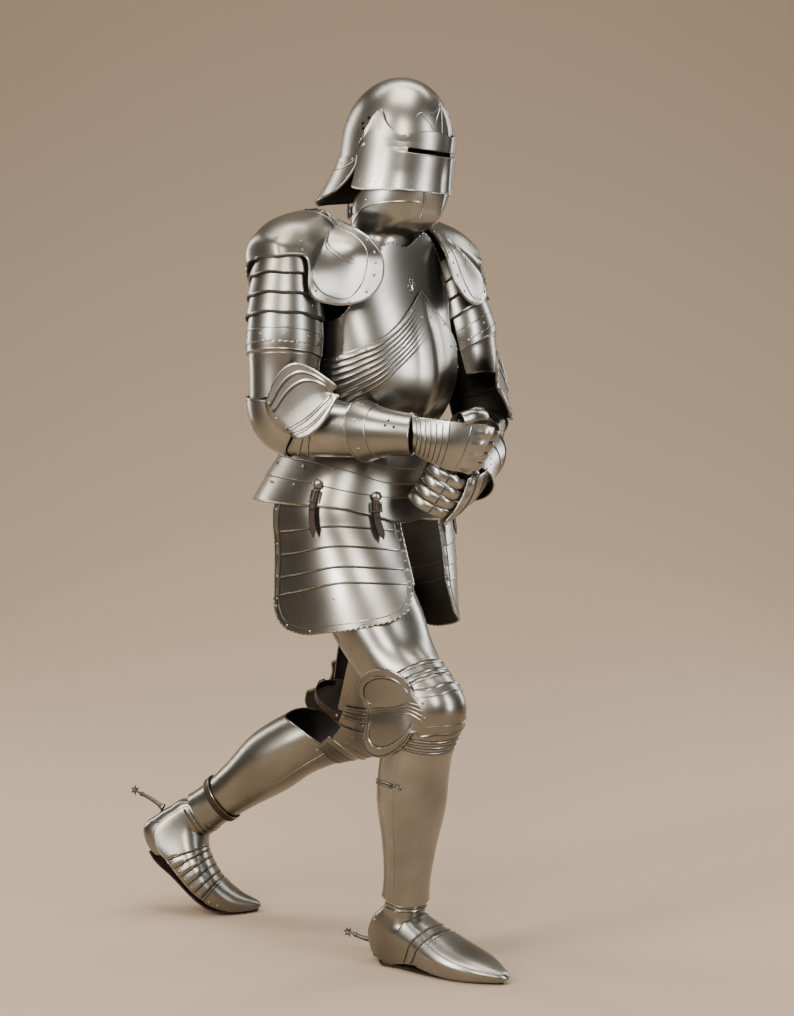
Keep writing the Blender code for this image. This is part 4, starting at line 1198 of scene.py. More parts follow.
HOOPS = [
    mirrored((0, -0.014), (180, -0.014)),
    mirrored((0, -0.066), (20, -0.060), (55, -0.038), (88, -0.030), (180, -0.030)),
    mirrored((0, -0.092), (20, -0.089), (50, -0.067), (88, -0.050), (180, -0.048)),
    mirrored((0, -0.117), (20, -0.1145), (36, -0.108), (88, -0.085), (180, -0.083)),
    mirrored((0, -0.156), (9, -0.160), (16, -0.160), (26, -0.150), (40, -0.139), (98, -0.127), (112, -0.126),
             (180, -0.128)),
]
HOOP_STUDS = {
    1: [(-88, -0.060), (-63, -0.062), (-117, -0.058)],
    2: [(-90, -0.0925), (-110, -0.091), (-150, -0.09)],
}


def fauld():
    form = ring_form(HIPS)
    names = ["fauld_hoop_1", "fauld_hoop_2", "fauld_hoop_3", "fauld_hem"]
    nodes = ["fauld_hoop_1", "fauld_hoop_2", "fauld_hoop_3", "fauld_hoop_3"]
    for i, (name, node) in enumerate(zip(names, nodes)):
        low = HOOPS[i + 1]

        def high(v, i=i):
            return HOOPS[i](v) + (0.010 if i else 0.0)

        plate = Plate(band(form, -180, 180, high, low, 0.0070 - 0.0020 * i), (0, 0.01, -0.08))
        plate.sheet(150, 8 if i < 3 else 18, closed=True, wall=0.0016)
        plate.edge(BOTTOM, 0.0010 if i < 3 else 0.0016, closed=True)
        spots = []
        for v, u in HOOP_STUDS.get(i, []):
            a, b = high(np.array([float(v)]))[0], low(np.array([float(v)]))[0]
            spots.append(((v + 180) / 360, (u - a) / (b - a)))
        if spots:
            plate.rivets(both(spots), 0.0027)
        plate.done(name, node)


TASSET_ROOT = [(-0.090, 0.006, 0.174, 0.146, 0.182, 0.0), (-0.135, 0.010, 0.190, 0.156, 0.206, 0.0)]
TASSET = {
    "right": [
        *TASSET_ROOT,
        (-0.165, 0.012, 0.190, 0.166, 0.206, 0.0), (-0.200, 0.012, 0.186, 0.180, 0.202, 0.0),
        (-0.280, 0.012, 0.184, 0.218, 0.196, 0.0), (-0.380, 0.012, 0.182, 0.260, 0.192, 0.0),
    ],
    "left": [
        *TASSET_ROOT,
        (-0.165, 0.012, 0.192, 0.162, 0.206, 0.0), (-0.200, 0.014, 0.192, 0.168, 0.204, 0.0),
        (-0.280, 0.016, 0.190, 0.176, 0.200, 0.0), (-0.380, 0.018, 0.188, 0.184, 0.196, 0.0),
    ],
}
TASSET_TOP = -0.114
TASSET_SPAN = {"right": (11, 21, 101), "left": (16, 20, 106)}
TASSET_DROP = {"right": 0.0, "left": -0.018}
TASSET_LINES = (0.22, 0.38, 0.535, 0.665)
# height of the foot of each lame at its front, middle and rear
TASSET_LEVELS = [
    curve((10, -0.176), (36, -0.168), (60, -0.166), (98, -0.184)),
    curve((10, -0.213), (36, -0.204), (60, -0.202), (98, -0.227)),
    curve((10, -0.246), (36, -0.240), (60, -0.239), (98, -0.269)),
    curve((10, -0.272), (36, -0.268), (60, -0.268), (98, -0.302)),
]
STRAPS = {"front": (29.0, -0.112, 0.078), "rear": (71.0, -0.088, 0.096)}   # angle, upper end, length


def tasset_place(side):
    way = SIDES[side]
    form = ring_form(TASSET[side])
    near, near_low, far = TASSET_SPAN[side]
    hem = curve((near_low, -0.285), (near_low + 4, -0.311), (near_low + 12, -0.329), (50, -0.344),
                (70, -0.358), (88, -0.364), (far - 6, -0.352), (far - 2, -0.334), (far, -0.312))
    knots = np.array([0.0, *TASSET_LINES, 1.0])

    def place(p, q):
        lean = near + (near_low - near) * q
        v = lean + (far - lean) * p
        levels = [np.full_like(v, TASSET_TOP), *[at(v) for at in TASSET_LEVELS], hem(v)]
        i = np.clip(np.searchsorted(knots, q, side="right") - 1, 0, len(knots) - 2)
        part = (q - knots[i]) / (knots[i + 1] - knots[i])
        u = np.choose(i, levels[:-1]) * (1 - part) + np.choose(i, levels[1:]) * part
        u = u + TASSET_DROP[side] * q**2
        return lift(form, u, np.radians(way * v), np.interp(q, [0, 0.2, 1], [-0.0075, -0.0070, 0.002]))

    return place


def tassets():
    for side in SIDES:
        lames = clinker(TASSET_LINES, 0.0014)

        def relief(p, q):
            border = np.clip(np.minimum(p, 1 - p) / 0.045, 0, 1)
            return lames(p, q) * border

        plate = Plate(tasset_place(side), (0, 0, -0.25), relief)
        plate.sheet(stops(80, 0.045, 0.955), stops(64, *TASSET_LINES, gap=0.0022))
        plate.edge(BUT_TOP, 0.0024, rope=True)
        plate.edge(TOP, 0.0010)
        border = [(0.955, 0.02), (0.955, 0.35), (0.955, 0.70), (0.945, 0.84), (0.90, 0.925), (0.80, 0.955),
                  (0.60, 0.955), (0.40, 0.955), (0.20, 0.945), (0.09, 0.90), (0.05, 0.78), (0.045, 0.60),
                  (0.045, 0.30), (0.045, 0.02)]
        plate.line(border, 0.0009)
        for low in TASSET_LINES:
            path = [(p, low - 0.003) for p in (0.045, 0.5, 0.955)]
            # The dark line below each lame line is painted shadow under the lame's edge.
            plate.shaded(path, 0.0011, -0.0003, (0, 0.009), 0.0008, -0.0003)
        outer = [(0.978, q) for q in (0.08, 0.30, 0.52, 0.72, 0.87)]
        inner = [(0.024, q) for q in (0.17, 0.29, 0.46, 0.64, 0.78)]
        under = [(0.88, 0.968), (0.745, 0.978), (0.58, 0.980), (0.39, 0.978), (0.20, 0.970), (0.07, 0.93)]
        plate.rivets(outer + inner + under + [(0.575, 0.77)], 0.0025)
        plate.done(f"tasset_{side}")


# ---------------------------------------------------------------- arms
# shoulder plate, rows from the back edge round to the chest: outward, forward, up from the shoulder
PAULDRON = [
    [(-0.104, -0.080, 0.066), (-0.098, -0.100, 0.030), (-0.082, -0.108, -0.010), (-0.058, -0.104, -0.050),
     (-0.032, -0.092, -0.080)],
    [(-0.104, -0.052, 0.086), (-0.060, -0.080, 0.070), (-0.012, -0.090, 0.035), (0.018, -0.084, -0.010),
     (0.022, -0.078, -0.050)],
    [(-0.104, -0.028, 0.098), (-0.052, -0.038, 0.094), (0.005, -0.045, 0.074), (0.050, -0.045, 0.038),
     (0.062, -0.045, 0.000)],
    [(-0.104, -0.006, 0.096), (-0.050, 0.006, 0.086), (0.006, 0.020, 0.068), (0.050, 0.028, 0.038),
     (0.062, 0.034, 0.013)],
    [(-0.106, 0.006, 0.087), (-0.073, 0.036, 0.067), (-0.033, 0.052, 0.044), (0.000, 0.064, 0.021),
     (0.017, 0.070, 0.010)],
    [(-0.106, 0.034, 0.075), (-0.058, 0.062, 0.044), (-0.020, 0.072, 0.010), (0.006, 0.079, -0.026),
     (0.016, 0.078, -0.056)],
    [(-0.108, 0.066, 0.062), (-0.074, 0.097, 0.025), (-0.053, 0.102, -0.015), (-0.035, 0.098, -0.054),
     (-0.022, 0.088, -0.081)],
    [(-0.118, 0.093, 0.045), (-0.121, 0.119, 0.015), (-0.118, 0.127, -0.021), (-0.103, 0.124, -0.068),
     (-0.067, 0.111, -0.106)],
]
NECK_SIDE = 0.104        # how far inside its joint each shoulder plate begins
# how far each shoulder plate stands off, and how it leans outward and forward with its arm
PAULDRON_ROOM = {"right": (0.0, 0.0, 0.0), "left": (0.005, 0.04, 0.20)}
ELBOW_OUT = {"right": (-1, 0, 0), "left": (0.3, -1, 0.2)}
FLUTES = {
    "right": [[(0.55, 0.33), (0.70, 0.36), (0.88, 0.38)], [(0.56, 0.37), (0.70, 0.40), (0.88, 0.42)]],
    "left": [[(0.55, 0.24), (0.72, 0.26), (0.93, 0.24)], [(0.52, 0.46), (0.70, 0.45), (0.93, 0.42)]],
}


def arm_form(side):
    pose = POSE[side]
    return limb_form(pose["shoulder"], pose["elbow"], pose["wrist"], 0.060, ARM, ELBOW_OUT[side])


def shoulder_place(side):
    way = SIDES[side]
    shoulder = vec(POSE[side]["shoulder"])
    room, lean_out, lean_on = PAULDRON_ROOM[side]
    rows = [
        [shoulder + vec((
            way * (o + room * (o + NECK_SIDE) / 0.1 - lean_out * min(u, 0)),
            -(f + room / 2 - lean_on * min(u, 0)),
            u + room / 2,
        )) for o, f, u in row] for row in PAULDRON
    ]
    return rounded(weave(rows), 0.74, 0.50), shoulder + vec((-way * 0.05, 0, -0.05))


def drawn_in(p, q):
    """The lower rim over the arm turns in toward the first arm lame."""
    return -0.0055 * np.clip((q - 0.70) / 0.30, 0, 1) ** 1.5 * np.clip((0.62 - p) / 0.10, 0, 1)


def pauldrons():
    for side in SIDES:
        place, core = shoulder_place(side)
        plate = Plate(place, core, drawn_in)
        plate.sheet(96, 60)
        plate.edge(ALL_ROUND, 0.0020, closed=True)
        border = [(0.36, 0.10), (0.55, 0.11), (0.75, 0.085), (0.87, 0.10), (0.925, 0.22), (0.93, 0.45),
                  (0.93, 0.72), (0.915, 0.86), (0.83, 0.875), (0.74, 0.84), (0.67, 0.80)]
        plate.line(border, 0.0011)
        for flute in FLUTES[side]:
            plate.line(flute, 0.0011, fade=True)
        studs = [(0.42, 0.05), (0.556, 0.055), (0.70, 0.045), (0.83, 0.045), (0.955, 0.075), (0.968, 0.24),
                 (0.966, 0.38), (0.966, 0.53), (0.968, 0.74), (0.963, 0.93), (0.85, 0.935), (0.75, 0.90)]
        studs += [(0.513, 0.69), (0.537, 0.86), (0.419, 0.72), (0.10, 0.50), (0.10, 0.86)]
        plate.rivets(studs, 0.0026)
        plate.done(f"pauldron_{side}")


ARM_LAMES = [(-0.320, -0.280), (-0.297, -0.245), (-0.262, -0.210)]
CANNON_TOP = -0.225
ARCH = 0.020
REACH = {"right": (134, 134), "left": (134, 148)}    # how far round the arm, at the back and at the front


def upper_arm(form, side):
    """Angles, in degrees, of the arm's outside and of the top of its arched plates, and the plates' reach."""
    way = SIDES[side]
    out, arch = angle_of(form, (way, 0, 0)), angle_of(form, (way, -0.9, 0))
    back, front = REACH[side]
    return out, arch, (back, front) if math.sin(math.radians(arch - out)) > 0 else (front, back)


def lame_place(form, out, arch, top, low, reach):
    """A band round the upper arm, open toward the body, arched, its foot scalloped and standing out."""
    back, front = reach

    def place(p, q):
        v = np.radians(out - back + (back + front) * p)
        scallop = 0.0026 * np.abs(np.sin(3.5 * (v - math.radians(arch)))) * q
        u = top + (low - top) * q + ARCH * (1 - np.cos(v - math.radians(arch))) - scallop
        return lift(form, u, v, -0.0045 + 0.0065 * q)
    return place


def arm_lames():
    for side in SIDES:
        form = arm_form(side)
        out, arch, reach = upper_arm(form, side)
        for i, (top, low) in enumerate(ARM_LAMES):
            plate = Plate(lame_place(form, out, arch, top, low, reach), form.joint - 0.2 * form.d1)
            plate.sheet(110, 14, wall=sizes().lame_wall)
            plate.edge(BUT_TOP, 0.0011)
            # A dark line of the inside finish just under the lame's foot: painted shadow beneath its edge.
            plate.line(level_row(1.055), 0.0016, -0.0022, kind="inside")
            plate.rivets([(0.84, 0.66), (0.16, 0.66)], 0.0024)
            plate.done(f"arm_lame_{i + 1}_{side}")


def cannon_place(form, out, arch, reach):
    """The upper cannon: its turning rim stands out over the straight tube below."""
    back, front = reach[0] - 4, reach[1] - 4

    def place(p, q):
        v = np.radians(out - back + (back + front) * p)
        bow = ARCH * (1 - np.cos(v - math.radians(arch)))
        low = -0.042 - 0.034 * (1 - np.cos(v)) / 2
        u = np.where(q <= 0.4, CANNON_TOP + (q / 0.4) * (-0.144 - CANNON_TOP) + bow,
                     -0.144 + bow + (low + 0.144 - bow) * (q - 0.4) / 0.6)
        return lift(form, u, v, np.interp(q, [0, 0.4, 0.43, 1], [-0.0045, 0.002, -0.0005, -0.001]))
    return place


def upper_cannons():
    for side in SIDES:
        form = arm_form(side)
        plate = Plate(cannon_place(form, *upper_arm(form, side)), form.joint - 0.12 * form.d1)
        plate.sheet(90, stops(44, 0.4, 0.43))
        plate.edge(BOTTOM, 0.0015)
        plate.sides(0.0011)
        plate.line([(0.01, 0.215), (0.99, 0.215)], 0.0011)
        plate.line([(0.01, 0.335), (0.99, 0.335)], 0.0024, -0.0004, False, rope=ROPE, step=ROPE_STEP, sides=9)
        plate.line([(0.01, 0.398), (0.99, 0.398)], 0.0012, -0.0002)
        plate.line([(0.01, 0.46), (0.99, 0.46)], 0.0008, -0.0002)
        plate.rivets([(p, 0.268) for p in (0.12, 0.25, 0.40, 0.537, 0.669, 0.819, 0.92)], 0.0025)
        plate.done(f"upper_cannon_{side}")


# elbow wing: upper edge, lower edge, middle (along the forearm, up the arm), distance out
COUTER_WING = [
    (-0.010, 0.049, 0.046, -0.016, 0.018, 0.014, 0.068),
    (0.004, 0.083, 0.064, -0.012, 0.036, 0.032, 0.071),
    (0.020, 0.106, 0.082, 0.000, 0.054, 0.048, 0.073),
    (0.043, 0.118, 0.097, 0.016, 0.071, 0.061, 0.075),
    (0.071, 0.112, 0.108, 0.034, 0.088, 0.069, 0.076),
    (0.098, 0.097, 0.117, 0.052, 0.101, 0.071, 0.075),
    (0.120, 0.082, 0.125, 0.066, 0.110, 0.070, 0.073),
]


def couters():
    for side in SIDES:
        form = arm_form(side)
        low = curve((-62, -0.060), (0, -0.052), (50, -0.050), (78, -0.048))
        high = curve((-62, 0.036), (0, 0.032), (50, 0.030), (78, 0.034))
        along = unit(form.d1 + form.d2)
        axes = (form.joint, unit(along - form.bend), unit(-along - form.bend), form.side)
        place = winged(form, -62, 78, low, high, 1.8 * STEP, COUTER_WING, axes, 0.5)

        def relief(p, q):
            wing = np.clip((p - 0.52) / 0.14, 0, 1)
            return wing * (0.0045 * np.abs(2 * q - 1) ** 1.5 - 0.0025)

        plate = Plate(place, form.joint, relief)
        plate.sheet(120, 44)
        plate.edge(ALL_ROUND, 0.0017, closed=True)
        for off in (0.11, 0.24):
            path = [(0.545, off), (0.62, off), (0.74, off), (0.86, off + 0.01), (0.94, off + 0.04),
                    (0.975, 0.30 + 0.5 * off)]
            for run, way in ((path, 1), (upended(path), -1)):
                # The dark line beside each raised line is painted shade along its edge.
                plate.shaded(run, 0.0020, 0.0, (-0.006, way * 0.030), 0.0011, -0.0004)
        plate.rivets([(0.569, 0.075), (0.545, 0.42), (0.560, 0.70), (0.05, 0.3), (0.05, 0.7)], 0.0027)
        plate.done(f"couter_{side}")


def lower_cannons():
    mouth = mirrored((0, 0.024), (90, 0.046), (180, 0.078))
    for side in SIDES:
        form = arm_form(side)
        plate = Plate(band(form, -180, 180, mouth, level(0.180), 0.0), form.joint + 0.1 * form.d2)
        plate.sheet(100, 40, closed=True)
        plate.rims(0.0017, 0.0012)
        for q in (0.085, 0.165):
            path = [(0.22, q), (0.5, q + 0.02), (0.78, q)]
            # The dark line beside each raised line is painted shade along its edge.
            plate.shaded(path, 0.0012, 0.0, (0, 0.008), 0.0010, -0.0003, fade=True)
        for first, last in ((0.02, 0.25), (0.75, 0.98)):
            plate.line([(first, 0.10), (last, 0.10)], 0.0009, fade=True)
        plate.rivets([(0.70, 0.20), (0.30, 0.20), (0.5, 0.11)], 0.0026)
        plate.done(f"lower_cannon_{side}")


CUFF_LINE = 0.70         # raised border on the cuff, from wrist to rear edge


def rear_edge(v):
    """Rear edge of a cuff: long over the back of the forearm and cut back on the other side."""
    return 0.158 - 0.027 * np.cos(np.radians(v - 110))


def cuff(side):
    form = arm_form(side)
    plate = Plate(band(form, -180, 180, level(0.245), rear_edge, 0.0005, 0.010), form.joint + 0.2 * form.d2)
    plate.sheet(96, stops(30, CUFF_LINE), closed=True)
    plate.rims(0.0013, 0.0019)
    plate.line([(0, CUFF_LINE), (1, CUFF_LINE)], 0.0012, curved=False, closed=True)
    plate.rivets([(p, 0.86) for p in (0.06, 0.20, 0.35, 0.50, 0.66, 0.82, 0.94)], 0.0026)
    plate.pierce([(0.853, 0.335), (0.810, 0.372), (0.806, 0.232)], 0.0024)
    plate.rivets([(0.985, 0.05), (0.015, 0.05), (0.5, 0.05)], 0.0032)
    plate.done(f"gauntlet_cuff_{side}")


HAND_LINES = (0.05, 0.11, 0.17, 0.23, 0.295, 0.365, 0.44, 0.70)
FINGER_LINES = (0.27, 0.52, 0.76)
KNUCKLES = (0.13, 0.375, 0.625, 0.87)
FINGER_ROUND = {"right": 0.0018, "left": 0.0030}


def hand_frame(side):
    """Grip, wrist and the directions along the hand, out of its back and along the hilt, with its reach."""
    wrist, grip = vec(POSE[side]["wrist"]), vec(POSE[side]["grip"])
    g = unit(vec(POSE["right"]["grip"]) - vec(POSE["left"]["grip"]))
    e = grip - wrist
    e = unit(e - (e @ g) * g)
    n = np.cross(e, g) * (1 if side == "right" else -1)
    arm = unit(wrist - vec(POSE[side]["elbow"]))
    cross = unit(g - (g @ arm) * arm)
    return grip, e, n, g, cross, (grip - wrist) @ e, (wrist - grip) @ g


def across_hand(side, table, bow):
    grip, e, n, g, cross, reach, drop = hand_frame(side)

    def place(p, q):
        t = q * table[-1][0]
        x, y, half = smooth(table, t).T
        s = 2 * p - 1
        shift = drop * np.clip(-x / reach, 0, 1)
        y = y - bow * s**2 * np.clip(1 - 0.5 * q, 0, 1)
        near = np.clip(-x / reach, 0, 1)[:, None]
        wide = near * cross + (1 - near) * g
        return grip + e * x[:, None] + n * y[:, None] + g * shift[:, None] + wide * (half * s)[:, None]

    return place


def back_of_hand(side):
    grip, _, n, _, _, reach, _ = hand_frame(side)
    table = [(0, -reach - 0.018, 0.022, 0.031), (1, -reach * 0.5, 0.044, 0.045), (2, 0.012, 0.048, 0.049)]
    lames = clinker(HAND_LINES, 0.0011)

    def relief(p, q):
        knob = sum(np.exp(-((p - k) / 0.085) ** 2) for k in KNUCKLES)
        return lames(p, q) + 0.0030 * knob * np.exp(-((q - 0.88) / 0.085) ** 2)

    plate = Plate(across_hand(side, table, 0.016), grip - 0.02 * n, relief)
    plate.sheet(56, stops(56, *HAND_LINES, gap=0.003), wall=0.0014)
    plate.edge(BUT_TOP, 0.0011)
    for q in HAND_LINES:
        # The dark line beside each lame line is painted shadow under the lame's edge.
        plate.shaded([(0.02, q - 0.004), (0.98, q - 0.004)], 0.0007, -0.0003, (0, 0.012), 0.0006, -0.0002)
    plate.rivets([(p, q - 0.03) for q in HAND_LINES[1:7:2] for p in (0.05, 0.95)], 0.0018)
    plate.done(f"gauntlet_hand_{side}")


def fingers(side):
    grip = hand_frame(side)[0]
    curl = [(0, 0.008, 0.0435, 0.044), (1, 0.032, 0.029, 0.044), (2, 0.043, -0.004, 0.044),
            (3, 0.032, -0.036, 0.043), (4, 0.004, -0.044, 0.042), (5, -0.022, -0.032, 0.040)]
    fist = across_hand(side, curl, 0.006)
    lames = clinker(FINGER_LINES, 0.0020)
    parts = []
    for k in range(4):
        def place(p, q, k=k):
            return fist((k + 0.03 + 0.94 * p) / 4, q)

        def relief(p, q):
            return lames(p, q) + FINGER_ROUND[side] * (1 - np.abs(2 * p - 1) ** 3) - 0.0024

        plate = Plate(place, grip, relief)
        plate.sheet(12, stops(40, *FINGER_LINES, gap=0.004), wall=0.0012)
        # Dark lines of the inside finish beside each lame step: painted shade under the overlapping edge.
        for q in FINGER_LINES:
            plate.line([(0.02, q + 0.008), (0.98, q + 0.008)], 0.0008, kind="inside")
        parts.append(join(plate.obj, plate.extras))
    ready(join(parts[0], parts[1:]), f"gauntlet_fingers_{side}", f"gauntlet_fingers_{side}")


def thumb(side):
    """The thumb, three scales on its back, laid along the side of the fist nearest the blade."""
    grip, e, n, g, _, reach, _ = hand_frame(side)
    line = [
        grip - e * reach * 0.50 + n * 0.026 + g * 0.036, grip - e * 0.026 + n * 0.018 + g * 0.048,
        grip - n * 0.002 + g * 0.049, grip + e * 0.014 - n * 0.022 + g * 0.040,
    ]

    def place(p, q):
        base = through(line, 3 * q)
        run = units(through(line, 3 * q + 0.05) - through(line, 3 * q - 0.05))
        side_way = units(np.cross(run, g))
        top = np.cross(side_way, run)
        size = np.interp(q, [0, 0.15, 0.75, 0.93, 1], [0.0135, 0.0135, 0.0115, 0.0085, 0.0025])[:, None]
        theta = np.radians(-115 + 230 * p)[:, None]
        way = 1 if float(top[0] @ g) > 0 else -1
        return base + size * (way * top * np.cos(theta) + side_way * np.sin(theta))

    plate = Plate(place, grip - g * 0.02, clinker((0.34, 0.62), 0.0016))
    plate.sheet(18, stops(26, 0.34, 0.62, gap=0.006), wall=0.0012)
    plate.rivets([(0.5, 0.29), (0.5, 0.57)], 0.0016)
    plate.done(f"gauntlet_thumb_{side}", f"gauntlet_fingers_{side}")


def gauntlets():
    for side in SIDES:
        cuff(side)
        back_of_hand(side)
        fingers(side)
        thumb(side)


# ---------------------------------------------------------------- legs
# knee wing: upper edge, lower edge, middle (back, up), distance out
POLEYN_WING = [
    (-0.051, 0.060, -0.043, -0.030, -0.045, 0.012, 0.059),
    (-0.031, 0.080, -0.023, -0.049, -0.025, 0.012, 0.067),
    (-0.006, 0.088, 0.012, -0.063, 0.004, 0.013, 0.075),
    (0.024, 0.087, 0.044, -0.066, 0.030, 0.014, 0.079),
    (0.053, 0.076, 0.066, -0.056, 0.046, 0.015, 0.081),
    (0.070, 0.052, 0.077, -0.032, 0.054, 0.015, 0.080),
]


def leg_form(side):
    pose = POSE[side]
    return limb_form(pose["hip"], pose["knee"], pose["ankle"], 0.070, LEG, LEG_OUT[side])


def cuisses():
    for side in SIDES:
        form = leg_form(side)
        plate = Plate(band(form, -100, 122, level(-0.300), level(-0.052), 0.0), form.joint - 0.17 * form.d1)
        plate.sheet(80, 46)
        plate.edge(ALL_ROUND, 0.0015, closed=True)
        plate.line([(0.30, 0.10), (0.285, 0.45), (0.275, 0.75), (0.27, 0.93)], 0.0015, fade=True)
        plate.line([(0.955, 0.03), (0.955, 0.97)], 0.0009, curved=False)
        plate.rivets([(0.972, 0.20), (0.972, 0.88), (0.03, 0.20), (0.03, 0.85)], 0.0026)
        plate.done(f"cuisse_{side}")


# lames at the knee: far and near edge from the joint
KNEE_LAMES = {
    "upper": ((0.0630, 0.0440), (0.0500, 0.0350), (0.0410, 0.0240)),
    "lower": ((0.0520, 0.0360), (0.0430, 0.0270), (0.0340, 0.0180)),
}
KNEE_DIP = 0.006         # how much lower the lower lames hang in front


def dipped(amount, dip):
    """A level that hangs lower at the front."""
    return lambda v: amount + dip * np.cos(np.radians(v))


def knee_lames(side, form, place_name, way):
    """Three narrow lames above (-1) or below (1) the knee cup, each tucked under the next toward the cup."""
    for i, (far, near) in enumerate(KNEE_LAMES[place_name]):
        dip = KNEE_DIP if way > 0 else 0.0
        place = band(form, -92, 76, dipped(way * far, dip), dipped(way * near, dip), 0.0022 + 0.0013 * i)
        plate = Plate(place, form.joint)
        plate.sheet(76, 6, wall=sizes().lame_wall)
        plate.edge(BOTTOM, 0.0008)
        plate.edge(TOP, 0.0014)
        # Dark lines of the inside finish along both edges: painted shade in the gaps between the lames.
        for q in (-0.10, 0.16):
            plate.line(level_row(q), 0.0009, -0.0006, kind="inside")
        plate.rivets([(0.755, 0.45), (0.17, 0.45)], 0.0022)
        plate.done(f"knee_lame_{place_name}_{i + 1}_{side}", f"knee_lames_{place_name}_{side}")


def poleyn(side, form):
    knee, up = form.joint, -unit(form.d1 + form.d2)
    low = curve((-86, -0.018), (0, -0.026), (30, -0.025), (45, -0.030))
    high = curve((-86, 0.018), (0, 0.028), (30, 0.027), (45, 0.030))
    back = unit(-form.bend - (-form.bend @ up) * up)
    place = winged(form, -86, 45, low, high, 0.0072, POLEYN_WING, (knee, back, up, form.side), 0.5)

    def relief(p, q):
        wing = np.clip((p - 0.56) / 0.12, 0, 1)
        return wing * (0.0030 * np.abs(2 * q - 1) - 0.0020 * np.exp(-(((q - 0.5) / 0.10) ** 2)))

    plate = Plate(place, knee + 0.02 * back, relief)
    plate.sheet(116, 46)
    plate.edge(ALL_ROUND, 0.0019, closed=True)
    # Dark lines of the inside finish just past the cup's upper and lower edges: painted shadow under them.
    for q in (-0.03, 1.03):
        plate.line([(0.02, q), (0.3, q), (0.49, q)], 0.0014, -0.0020, kind="inside")
    groove = [(0.575, 0.20), (0.63, 0.115), (0.72, 0.085), (0.81, 0.085), (0.90, 0.115), (0.945, 0.20),
              (0.93, 0.33), (0.87, 0.40)]
    for run, way in ((groove, 1), (upended(groove), -1)):
        # The dark line beside each groove line is painted shade along its edge.
        plate.shaded(run, 0.0016, 0.0, (-0.008, way * 0.022), 0.0008, 0.0)
    for rise in (-0.055, -0.018, 0.018, 0.055):
        plate.line([(0.93, 0.5 + rise), (0.80, 0.5 + 0.8 * rise), (0.68, 0.5 + 0.9 * rise),
                    (0.55, 0.5 + 2.4 * rise), (0.49, 0.5 + 3.2 * rise)], 0.0010, fade=True)
    plate.line([(0.04, 0.20), (0.25, 0.17), (0.50, 0.17)], 0.0010, fade=True)
    plate.line([(0.04, 0.80), (0.25, 0.83), (0.50, 0.80)], 0.0010, fade=True)
    plate.rivets([(0.483, 0.30), (0.488, 0.62), (0.05, 0.3), (0.05, 0.7)], 0.0025)
    plate.done(f"poleyn_{side}")


def poleyns():
    for side in SIDES:
        form = leg_form(side)
        knee_lames(side, form, "upper", -1)
        poleyn(side, form)
        knee_lames(side, form, "lower", 1)


def greaves():
    top = mirrored((0, 0.044), (90, 0.046), (180, 0.095))
    for side in SIDES:
        form = leg_form(side)
        plate = Plate(band(form, -180, 180, top, level(0.372), 0.0), form.joint + 0.2 * form.d2)
        plate.sheet(80, 56, closed=True)
        plate.rims(0.0018, 0.0014)
        for p in (0.71, 0.29):
            plate.line([(p, 0.02), (p, 0.98)], 0.0008, -0.0002, curved=False)
        clasp(plate)
        plate.rivets([(0.68, 0.05), (0.74, 0.05), (0.32, 0.05), (0.26, 0.05), (0.735, 0.62), (0.265, 0.62)],
                     0.0024)
        plate.done(f"greave_{side}")


def clasp(plate):
    """Hook and eye that closes the two shells of a greave: two studs in rings, a bar across the seam."""
    for p in (0.86, 0.69):
        plate.line(ring_of_spots(p, 0.268, 0.020, 0.013, 13), 0.0018, 0.0008, kind="iron", step=0.002)
        plate.rivets([(p, 0.268)], 0.0036)
    for q in (0.260, 0.276):
        plate.line([(0.715, q), (0.775, q - 0.001), (0.835, q)], 0.0022, 0.0014, kind="iron", step=0.003)
    for p in (0.745, 0.775, 0.805):
        plate.line([(p, 0.258), (p, 0.278)], 0.0013, 0.0012, kind="iron", step=0.002)


TOE_START = {"right": 3.50, "left": 4.28}
HEEL_WRAP = {"right": 0.0, "left": 0.42}     # stations that the heel plate runs on under the raised heel
ANKLE_OUT = 0.0105                           # how far the ankle lames stand out
FOOT_LAMES = {
    "right": (0.05, 0.105, 0.815, 0.915),
    "left": (0.05, 0.105, 0.16, 0.58, 0.65, 0.72, 0.79, 0.86, 0.93),
}


